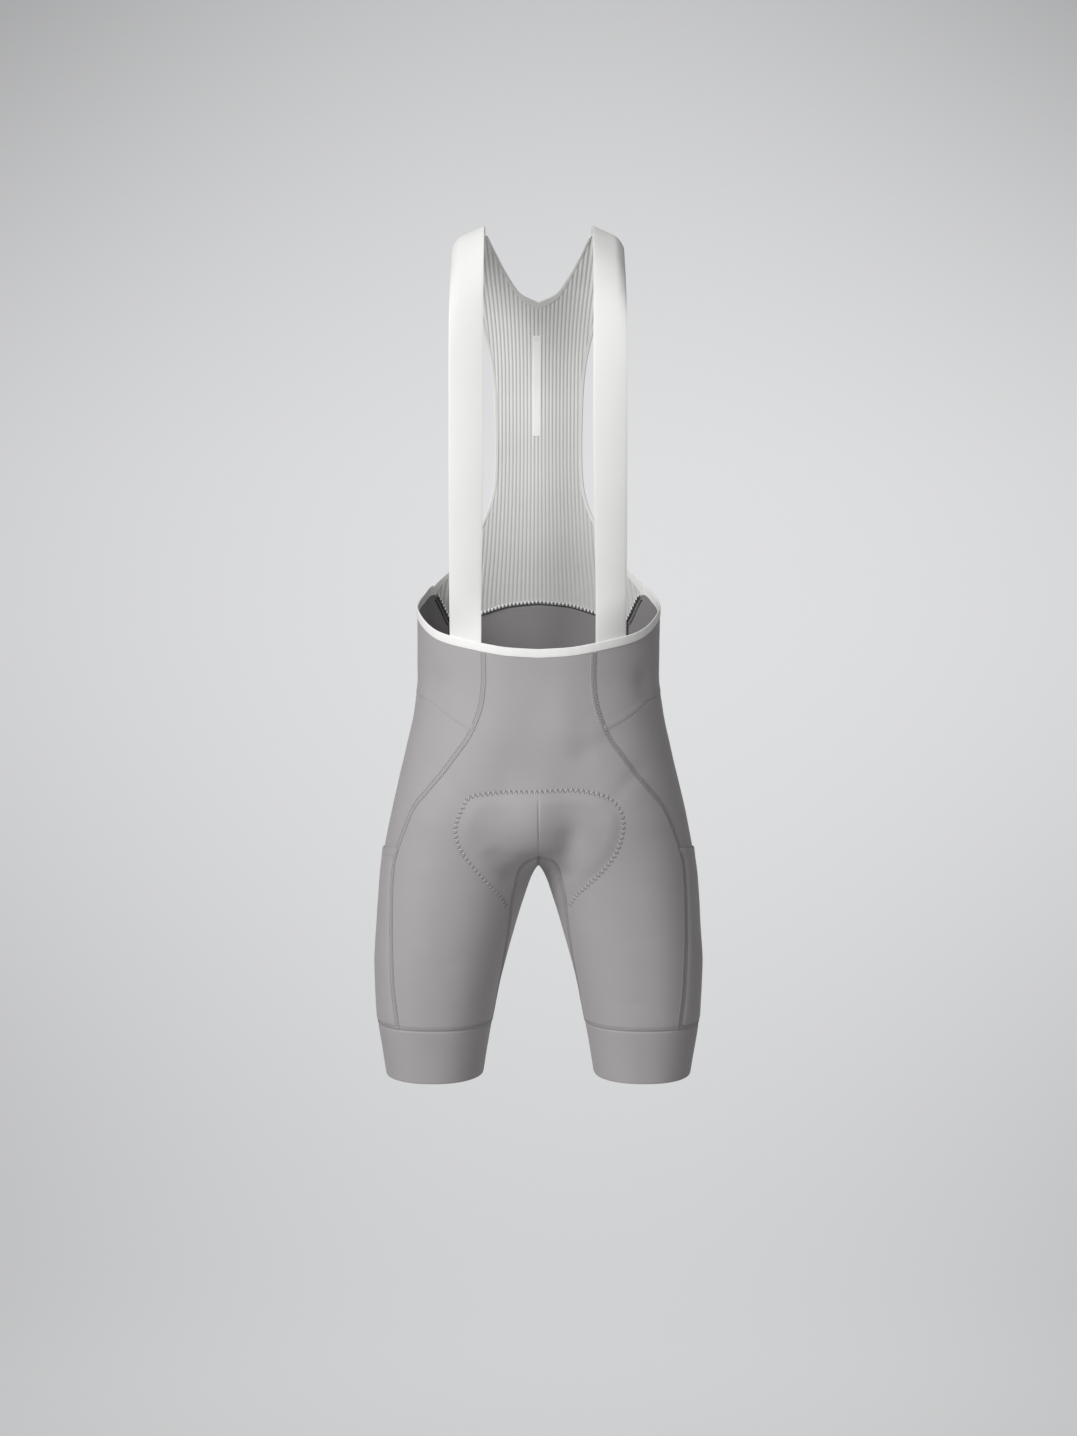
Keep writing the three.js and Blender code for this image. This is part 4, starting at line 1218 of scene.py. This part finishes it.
def strapRows(heights, face):
    inner, outer = np.moveaxis(strapEdges(heights), -1, 0)
    x = lerp(outer[:, None], inner[:, None], acrossStrap[None, :])
    places = bibPlace(x, heights[:, None], face)
    if face < 0:
        places[..., 1] += strapInset(heights)[:, None]
        flatten = smoothStep(10, 70, heights) * (1 - smoothStep(370, 474, heights))
        places[..., 1] -= strap["flatten"] * flatten[:, None] * (1 - 2 * acrossStrap[None, :])
    return places


strapPlaces = np.concatenate([strapRows(strapHeights, -1), strapRows(backHeights, 1)])
alongStrap = np.gradient(strapPlaces, axis=0)
overStrap = np.gradient(strapPlaces, axis=1)
strapFacing = unit(np.cross(alongStrap, overStrap))
outward = strapPlaces * np.array([1, 1, 0])
if (strapFacing * outward).sum() < 0:
    strapFacing = -strapFacing
strapOver, strapAlong = arcLength(strapPlaces, 1), arcLength(strapPlaces, 0)
thin = -0.22 * np.exp(-(np.minimum(strapOver, strapOver[:, -1:] - strapOver) / strap["selvedge"]) ** 2)
for left, side in leftAndRight:
    free = smoothStep(30, 110, strapAlong) * (1 - smoothStep(440, 500, strapAlong))
    wave = free * strap["wave"] * slowWave(strapPlaces + (0 if left else 300), 90, 4)
    places = strapPlaces + strapFacing * (thin + wave)[..., None]
    facing, uv = strapFacing, np.stack([strapOver, strapAlong], -1)
    if not left:
        places, facing, uv = mirrorPlaces(places), mirrorPlaces(facing), mirrorPlaces(uv)
        places[..., 0] -= strap["wider"] * smoothStep(75, 95, -places[..., 0])
    piece = wrapGrid(f"strap{side}", places[::-1], facing[::-1], uv[::-1])
    giveThickness(piece, strap["thickness"], roundEdge=0.4)
    finishPiece(piece, tape, f"strap_{side.lower()}")

# The label lies on the inner face of the mesh.
label = {
    "left": -6.4, "right": 2.9, "bottom": 257, "top": 372, "tilt": 0.6, "off": 1.95, "thickness": 0.5,
    "sewnAt": 4,  # from each end
    "flat": (0.0105, 0.115),
}
labelUp = np.linspace(1, 0, 80)[:, None]
labelX = np.linspace(label["right"], label["left"], 12)[None, :] + label["tilt"] * (labelUp - 0.5)
labelHeight = lerp(label["bottom"], label["top"], labelUp) + 0 * labelX
labelFacing = bibFacing(labelX, labelHeight, 1)
fromEnds = np.minimum(labelUp, 1 - labelUp) * (label["top"] - label["bottom"])
sunk = 0.25 * np.exp(-(fromEnds - label["sewnAt"]) ** 2)
sunk = sunk + 0.12 * slowWave(bibPlace(labelX, labelHeight, 1), 20, 2)
labelPlaces = bibPlace(labelX, labelHeight, 1) - labelFacing * (label["off"] - sunk)[..., None]
labelUv = np.stack([labelX, labelHeight], -1)
labelPiece = wrapGrid("neckLabel", labelPlaces, -labelFacing, labelUv)
giveThickness(labelPiece, label["thickness"], roundEdge=0.12)
finishPiece(labelPiece, satin, "label")
print("straps and label made")


# Stitches: one small strand is modelled, and copied along a seam.
def strandShape():
    bpy.ops.mesh.primitive_uv_sphere_add(segments=6, ring_count=3, radius=1)
    ball = bpy.context.object
    points = np.array([v.co for v in ball.data.vertices], float)[:, [2, 0, 1]]
    faces = [tuple(p.vertices) for p in ball.data.polygons]
    bpy.data.objects.remove(ball)
    return points, faces


strandPoints, strandFaces = strandShape()


# One piece of many strands. Each has its own place, way, top and length.
def makeStrands(name, centres, ways, tops, length, width, height, material, slotName):
    ways = unit(ways)
    sides = unit(np.cross(tops, ways))
    ups = np.cross(ways, sides)
    length = np.broadcast_to(length, (len(centres),))
    points = (centres[:, None, :]
              + ways[:, None, :] * strandPoints[None, :, 0:1] * length[:, None, None] / 2
              + sides[:, None, :] * strandPoints[None, :, 1:2] * width / 2
              + ups[:, None, :] * strandPoints[None, :, 2:3] * height / 2)
    count = len(strandPoints)
    faces = [tuple(v + i * count for v in face) for i in range(len(centres)) for face in strandFaces]
    made = bpy.data.meshes.new(name)
    made.from_pydata(toMetres(points.reshape(-1, 3)).tolist(), [], faces)
    made.update()
    piece = bpy.data.objects.new(name, made)
    bpy.context.scene.collection.objects.link(piece)
    choose(piece)
    bpy.ops.object.mode_set(mode="EDIT")
    bpy.ops.mesh.select_all(action="SELECT")
    bpy.ops.mesh.normals_make_consistent(inside=False)
    bpy.ops.object.mode_set(mode="OBJECT")
    bpy.ops.object.shade_smooth()
    finishPiece(piece, material)


# Even stations along a line: places, the way it runs and the way the cloth faces
def stations(line, facing, spacing, shift=0.5):
    along = arcLength(line[None], 1)[0]
    count = max(int(along[-1] / spacing), 1)
    at = (np.arange(count) + shift) * along[-1] / count
    place = np.stack([np.interp(at, along, line[:, i]) for i in range(3)], -1)
    way = unit(np.gradient(line, axis=0))
    way = np.stack([np.interp(at, along, way[:, i]) for i in range(3)], -1)
    face = np.stack([np.interp(at, along, facing[:, i]) for i in range(3)], -1)
    return place, unit(way), unit(face)


# A line that lies on the cloth of one side, off the figure by its relief and proud
def clothLine(height, turn, left, proud=0.0, byFacing=False):
    line, facing = bodyPlace(height, turn), bodyFacing(height, turn)
    if not left:
        line, facing = line * [-1, 1, 1], facing * [-1, 1, 1]
    relief = clothRelief(line, facing if byFacing else None)
    return line + facing * (relief + proud)[:, None], facing


def seamPath(seam, first, last, left, proud=0.0):
    return clothLine(*seam(np.linspace(first, last, 400)), left, proud, True)


# A row of stitches: where they are, which way they run and face, and how long they are
def stitchRow(line, facing, sideways, spacing, stitch, rise, shift=0.5):
    place, way, face = stations(line, facing, spacing, shift)
    beside = unit(np.cross(face, way))
    return place + beside * sideways + face * rise, way, face, stitch


def gather(rows):
    centres, ways, tops = (np.concatenate([row[i] for row in rows]) for i in range(3))
    length = np.concatenate([np.broadcast_to(row[3], (len(row[0]),)) for row in rows])
    return centres, ways, tops, length


flatSeam = {
    "rowAt": 2.45, "stitch": 2.5, "every": 2.9, "rise": 0.36, "needle": (0.62, 0.4),
    "crossEvery": 1.7, "crossLength": 4.7, "sunk": 0.08, "looper": (0.5, 0.4), "shadedLooper": (1.2, 0.4),
}


# A flat seam: a needle row along each edge and looper threads across between them
def needleRows(line, facing):
    return [stitchRow(line, facing, side * flatSeam["rowAt"], flatSeam["every"], flatSeam["stitch"],
                      flatSeam["rise"]) for side in (-1, 1)]


def looperRow(line, facing):
    place, way, face = stations(line, facing, flatSeam["crossEvery"])
    beside = unit(np.cross(face, way))
    lean = np.where(np.arange(len(place)) % 2 == 0, 0.35, -0.35)[:, None]
    cross = unit(beside + way * lean)
    return place + face * (flatSeam["rise"] - flatSeam["sunk"]), cross, face, flatSeam["crossLength"]


def archRows(arch):
    return lambda row: np.moveaxis(arch(row), -1, 0)


for left, side in leftAndRight:
    runs = {
        "frontSeam": [seamPath(frontSeam, 0.05, 12, left), seamPath(frontSeam, 12, 22.95, left, 0.15)],
        "backSeam": [seamPath(backSeam, 0.05, 12, left), seamPath(backSeam, 12, 22.95, left, 0.15)],
        "archSeam": [seamPath(archRows(arch), 0, 10.95, left) for arch in (frontArch, backArch)],
    }
    for name, paths in runs.items():
        needles = [row for path in paths for row in needleRows(*path)]
        loopers = [looperRow(*path) for path in paths]
        makeStrands(f"{name}Needles{side}", *gather(needles), *flatSeam["needle"], greyThread, "shorts_knit")
        # On the wearer's left front seam the loopers are bigger and in the darker arch thread: painted shade
        # on the side away from the key light.
        shaded = name == "frontSeam" and left
        looperSize = flatSeam["shadedLooper"] if shaded else flatSeam["looper"]
        looperThread = archThread if name == "archSeam" or shaded else knitThread
        makeStrands(f"{name}Loopers{side}", *gather(loopers), *looperSize, looperThread, "shorts_knit")

# Fine rows above the leg bands, along the pocket mouths and the hip seams
fineRows = {
    "bandHeights": (1.6, 3.0, 4.4), "bandStitch": 1.7, "bandEvery": 2.2, "bandRise": 0.12,
    "bandThread": (0.42, 0.34), "aboveHip": 1.6, "hipRise": 0.36, "pocketRow": 12.45,
    "pocketRise": 0.3, "stitch": 1.9, "every": 2.4, "thread": (0.36, 0.3),
}
for left, side in leftAndRight:
    rows = []
    for above in fineRows["bandHeights"]:
        turn = np.linspace(-180, 180, 240)
        height = np.full_like(turn, garment["bandSeam"] + above)
        low = turnAtX(height[0], frontSeamX(height[0]), -1)
        high = turnAtX(height[0], backSeamX(height[0]), 1)
        onPocket = smoothStep(low - 1, low + 1, turn) * (1 - smoothStep(high - 1, high + 1, turn))
        line, facing = clothLine(height, turn, left, onPocket * pocketProud(above))
        rows.append(stitchRow(line, facing, 0, fineRows["bandEvery"], fineRows["bandStitch"],
                              fineRows["bandRise"], above / 7))
    makeStrands(f"bandStitches{side}", *gather(rows), *fineRows["bandThread"], greyThread, "leg_band_knit")

    across = np.linspace(0.02, 0.98, 200)
    turnStart, turnEnd = frontSeam(4)[1], backSeam(4)[1]
    hipStitches = clothLine(hipLine(across) + fineRows["aboveHip"], lerp(turnStart, turnEnd, across), left)
    mouth = panelPlaces(pocketPanel, np.full_like(across, fineRows["pocketRow"]), across)
    mouthStitches = clothLine(*mouth, left, pocket["proud"])
    rows = [stitchRow(*path, 0, fineRows["every"], fineRows["stitch"], rise)
            for path, rise in ((hipStitches, fineRows["hipRise"]), (mouthStitches, fineRows["pocketRise"]))]
    makeStrands(f"panelStitches{side}", *gather(rows), *fineRows["thread"], knitThread, "shorts_knit")


# The seat pad's zigzag: strands that lean one way and then the other, painted as lit and
# shaded copies of one thread, a painted highlight on one lean and painted shade on the other.
# It stops where the outline would cross between the legs.
zigzag = {
    "every": 2.75, "swing": 5.2, "width": 1.25, "height": 0.9, "rise": 0.35,
    "arch": {-1: -236.0, 1: -232.0}, "archHalf": 33, "lowest": -281,
}
for face, name in ((-1, "padZigzagFront"), (1, "padZigzagBack")):
    outline = np.vstack([padLines[face], padLines[face][:1]])
    place = onFace(outline[:, 0], outline[:, 1], face)
    shown = (np.abs(outline[:, 0]) > zigzag["archHalf"]) | (outline[:, 1] > zigzag["arch"][face])
    shown &= outline[:, 1] > zigzag["lowest"]
    start = int(np.argmin(shown))
    order = np.roll(np.arange(len(outline)), -start)
    order = order[shown[order]]
    line = place[order]
    turn = turnAtX(line[:, 2], np.abs(line[:, 0]), face)
    facing = bodyFacing(line[:, 2], turn)
    facing[:, 0] *= np.where(line[:, 0] < 0, -1, 1)
    line = line + facing * clothRelief(line, facing)[:, None]
    place, way, top = stations(line, facing, zigzag["every"])
    beside = unit(np.cross(top, way))
    lean = np.where(np.arange(len(place)) % 2 == 0, 1, -1)[:, None]
    strand = way * zigzag["every"] + beside * zigzag["swing"] * lean
    place = place + top * zigzag["rise"]
    long = np.linalg.norm(strand, axis=1) * 1.04
    for first, part, material in ((0, "", padLitThread), (1, "Shade", padShade)):
        half = slice(first, None, 2)
        makeStrands(name + part, place[half], strand[half], top[half], long[half],
                    zigzag["width"], zigzag["height"], material, "shorts_knit")

# Inside the back of the waist: an overlocked dark seam, taller at the sides, and above it the
# pale cut edge of the mesh as teeth, with dark strands between them as painted shade in the gaps
insideSeam = {
    "every": 1.3, "off": 1.9, "sideFrom": 99, "sideLength": 4.4, "middleLength": 1.5,
    "rowUp": 0.4, "secondUp": 4.9, "secondLength": 3.0, "thread": (0.9, 0.8), "endX": 118,
}
teeth = {
    "every": 4.4, "off": 1.5, "toothUp": 2.2, "tooth": (4.6, 2.9, 2.2), "gapUp": 1.5, "gap": (3.8, 1.8, 1.6),
}
backLine = waistBackLine[waistBackLine[:, 0] < insideSeam["endX"]]
backLine = np.concatenate([(backLine * [-1, 1, 1])[:0:-1], backLine])
backTurn = turnAtX(backLine[:, 2], np.abs(backLine[:, 0]), 1)
backFacing = bodyFacing(backLine[:, 2], backTurn)
backFacing[:, 0] *= np.where(backLine[:, 0] < 0, -1, 1)
inside = backLine - backFacing * insideSeam["off"]
place, way, face = stations(inside, backFacing, insideSeam["every"])
beside = unit(np.cross(face, way))
lean = unit(beside + 0.5 * way)
onSide = np.abs(place[:, 0]) > insideSeam["sideFrom"]
long = np.where(onSide, insideSeam["sideLength"], insideSeam["middleLength"])
second = place[onSide] + beside[onSide] * insideSeam["secondUp"]
makeStrands("waistSeamInside", *gather([
    (place + beside * insideSeam["rowUp"], lean, face, long),
    (second, lean[onSide], face[onSide], insideSeam["secondLength"]),
]), *insideSeam["thread"], darkThread, "shorts_knit")
upward = np.array([0, 0, 1.0])
for name, shift, kind, material in (
    ("meshEdgeInside", 0.5, "tooth", paleThread), ("meshEdgeShade", 0, "gap", greyThread),
):
    place, way, face = stations(inside, backFacing, teeth["every"], shift)
    place = place + upward * teeth[kind + "Up"] - face * teeth["off"]
    ways = np.broadcast_to(upward, place.shape)
    makeStrands(name, place, ways, face, *teeth[kind], material, "ribbed_mesh")
outside = (backLine + backFacing * 0.1, backFacing)
needles, looper = needleRows(*outside), looperRow(*outside)
makeStrands("waistSeamNeedles", *gather(needles), *flatSeam["needle"], greyThread, "shorts_knit")
makeStrands("waistSeamLoopers", *gather([looper]), *flatSeam["looper"], knitThread, "shorts_knit")

# Inside the back seams, dark overlock threads run down from the waist.
overlock = {"off": -1.6, "rowsAt": (-2.1, 0, 2.1), "every": 1.4, "length": 2.8, "thread": (0.8, 0.7)}
for left, side in leftAndRight:
    line, facing = seamPath(backSeam, 0.05, 11, left, overlock["off"])
    place, way, face = stations(line, facing, overlock["every"])
    beside = unit(np.cross(face, way))
    lean = unit(beside * 0.8 + way)
    rows = [(place + beside * at, lean, face, overlock["length"]) for at in overlock["rowsAt"]]
    makeStrands(f"backSeamInside{side}", *gather(rows), *overlock["thread"], darkThread, "shorts_knit")

# Stitched lines along the bindings and across both ends of the label
binderRow = {
    "waistUp": 1.4, "neckUp": 1.2, "every": 2.6, "stitch": 2.0, "rise": 0.42, "thread": (0.36, 0.3),
    "labelIn": 3.5, "labelSide": 0.8, "labelEvery": 1.5, "labelStitch": 1.2, "labelRise": 0.1,
}
edgeLines = [
    (waistFull + waistUpFull * binderRow["waistUp"], waistFacingFull),
    (neckBase + neckUp * binderRow["neckUp"], neckFacing),
]
edgeLines += [((armBase + armOut) * [flip, 1, 1], armFacing * [flip, 1, 1]) for flip in (1, -1)]
rows = [stitchRow(*line, 0, binderRow["every"], binderRow["stitch"], binderRow["rise"]) for line in edgeLines]
for height in (label["bottom"] + binderRow["labelIn"], label["top"] - binderRow["labelIn"]):
    x = np.linspace(label["left"] + binderRow["labelSide"], label["right"] - binderRow["labelSide"], 20)
    face = -bibFacing(x, height, 1)
    line = bibPlace(x, height, 1) + face * (label["off"] + binderRow["labelRise"])
    rows.append(stitchRow(line, face, 0, binderRow["labelEvery"], binderRow["labelStitch"], 0))
makeStrands("bindingStitches", *gather(rows), *binderRow["thread"], paleThread, "edge_binding")
print("stitches made")

# A pale round cove: floor, wide bend and wall in one, a little self-lit behind the object
stage = {"floor": -2.3, "radius": 6.0, "bend": 2.6, "top": 6.5, "around": 64, "down": 48}
profile = [(r, stage["floor"]) for r in np.linspace(0.01, stage["radius"] - stage["bend"], 14)]
for i in range(1, 25):
    angle = math.radians(90 * i / 24)
    profile.append((stage["radius"] - stage["bend"] * (1 - math.sin(angle)),
                    stage["floor"] + stage["bend"] * (1 - math.cos(angle))))
profile += [(stage["radius"], z) for z in np.linspace(profile[-1][1], stage["top"], 12)[1:]]
bpy.ops.mesh.primitive_grid_add(x_subdivisions=stage["around"], y_subdivisions=len(profile) - 1, size=2)
backdrop = bpy.context.object
backdrop.name = "backdrop"
for vertex in backdrop.data.vertices:
    row = int(round((vertex.co.y + 1) / 2 * (len(profile) - 1)))
    radius, z = profile[row]
    angle = math.pi * vertex.co.x
    vertex.co = (radius * math.sin(angle), radius * math.cos(angle), z)
backdrop.data.update()
bpy.ops.object.shade_smooth()
# the glow leans to one side, bows away from the middle and fades up, down and in the corners
paperLook = {
    "colour": colours["backdrop"], "roughness": 0.95, "specular": 0.1,
    "glow": 0.58, "frontGlow": 0.10, "sideGlow": 0.22, "sideFade": (2.3, 4.2),
    "lean": 0.022, "bow": -0.028, "brightest": -0.25, "upDown": -0.043, "corner": -0.012,
}
paper, paperTree, paperShader = newMaterial("backdropPaper", paperLook)


def paperTimes(first, second):
    return times(paperTree, first, second)


def paperFade(value, slope, least):
    return sums(paperTree, "MAXIMUM", sums(paperTree, "MULTIPLY_ADD", value, slope, 1.0), least)


paperParts = addNode(paperTree, "ShaderNodeSeparateXYZ", objectPlace(paperTree))
paperX, paperY, paperZ = paperParts.outputs[0], paperParts.outputs[1], paperParts.outputs[2]
leaning = sums(paperTree, "MULTIPLY_ADD", paperX, paperLook["lean"], 1.0)
fading = addNode(paperTree, "ShaderNodeMapRange", sums(paperTree, "ABSOLUTE", paperX),
                 *paperLook["sideFade"], 1.0, paperLook["sideGlow"]).outputs[0]
offSide = paperTimes(paperX, paperX)
bowed = sums(paperTree, "MULTIPLY_ADD", offSide, paperLook["bow"], 1.0)
sideways = paperTimes(paperTimes(leaning, bowed), fading)
level = sums(paperTree, "SUBTRACT", paperZ, paperLook["brightest"])
offLevel = paperTimes(level, level)
corners = paperFade(paperTimes(offSide, offLevel), paperLook["corner"], 0.5)
upwards = paperTimes(paperFade(offLevel, paperLook["upDown"], 0.3), corners)
behind = addNode(paperTree, "ShaderNodeMapRange", paperY, -1.5, 3.0, paperLook["frontGlow"],
                 paperLook["glow"], interpolation_type="SMOOTHSTEP").outputs[0]
glow = paperTimes(paperTimes(sideways, upwards), behind)
paperShader.inputs["Base Color"].default_value = (*colours["backdrop"], 1)
paperShader.inputs["Emission Color"].default_value = (0.985, 0.99, 1.0, 1)
paperTree.links.new(glow, paperShader.inputs["Emission Strength"])
backdrop.data.materials.append(paper)

# Soft studio light, the key from the viewer's left
lights = [
    {"name": "key", "place": (-2.3, -2.6, 1.0), "aim": (0, 0, -0.5), "size": 2.1, "power": 121},
    {"name": "fill", "place": (1.3, -3.3, 0.4), "aim": (0, 0, -0.4), "size": 1.3, "power": 19},
    {"name": "top", "place": (-0.2, -0.7, 2.3), "aim": (0, 0, -0.3), "size": 1.4, "power": 10},
]
for light in lights:
    bpy.ops.object.light_add(type="AREA", location=light["place"])
    lamp = bpy.context.object
    lamp.name = light["name"] + "Light"
    lamp.data.energy = light["power"]
    lamp.data.size = light["size"]
    place = np.array(light["place"]) - np.array(light["aim"])
    flat = math.hypot(place[0], place[1])
    lamp.rotation_euler = (math.atan2(flat, place[2]), 0, math.atan2(place[1], place[0]) + math.pi / 2)

world = bpy.data.worlds.new("studio")
bpy.context.scene.world = world
world.use_nodes = True
sky = world.node_tree.nodes["Background"]
sky.inputs[0].default_value = (0.93, 0.94, 0.96, 1)
sky.inputs[1].default_value = 0.15
bpy.context.scene.view_settings.view_transform = "Standard"

cameraSetting = {"place": (0, -2.235, -0.479), "pitch": 1.78, "lens": 50, "sensor": 36}
cameraData = bpy.data.cameras.new("camera")
camera = bpy.data.objects.new("camera", cameraData)
bpy.context.scene.collection.objects.link(camera)
cameraData.lens = cameraSetting["lens"]
cameraData.sensor_fit = "VERTICAL"
cameraData.sensor_height = cameraData.sensor_width = cameraSetting["sensor"]
camera.location = cameraSetting["place"]
camera.rotation_euler = (math.radians(90 - cameraSetting["pitch"]), 0, 0)
bpy.context.scene.camera = camera

bpy.context.view_layer.update()
print("scene ready")
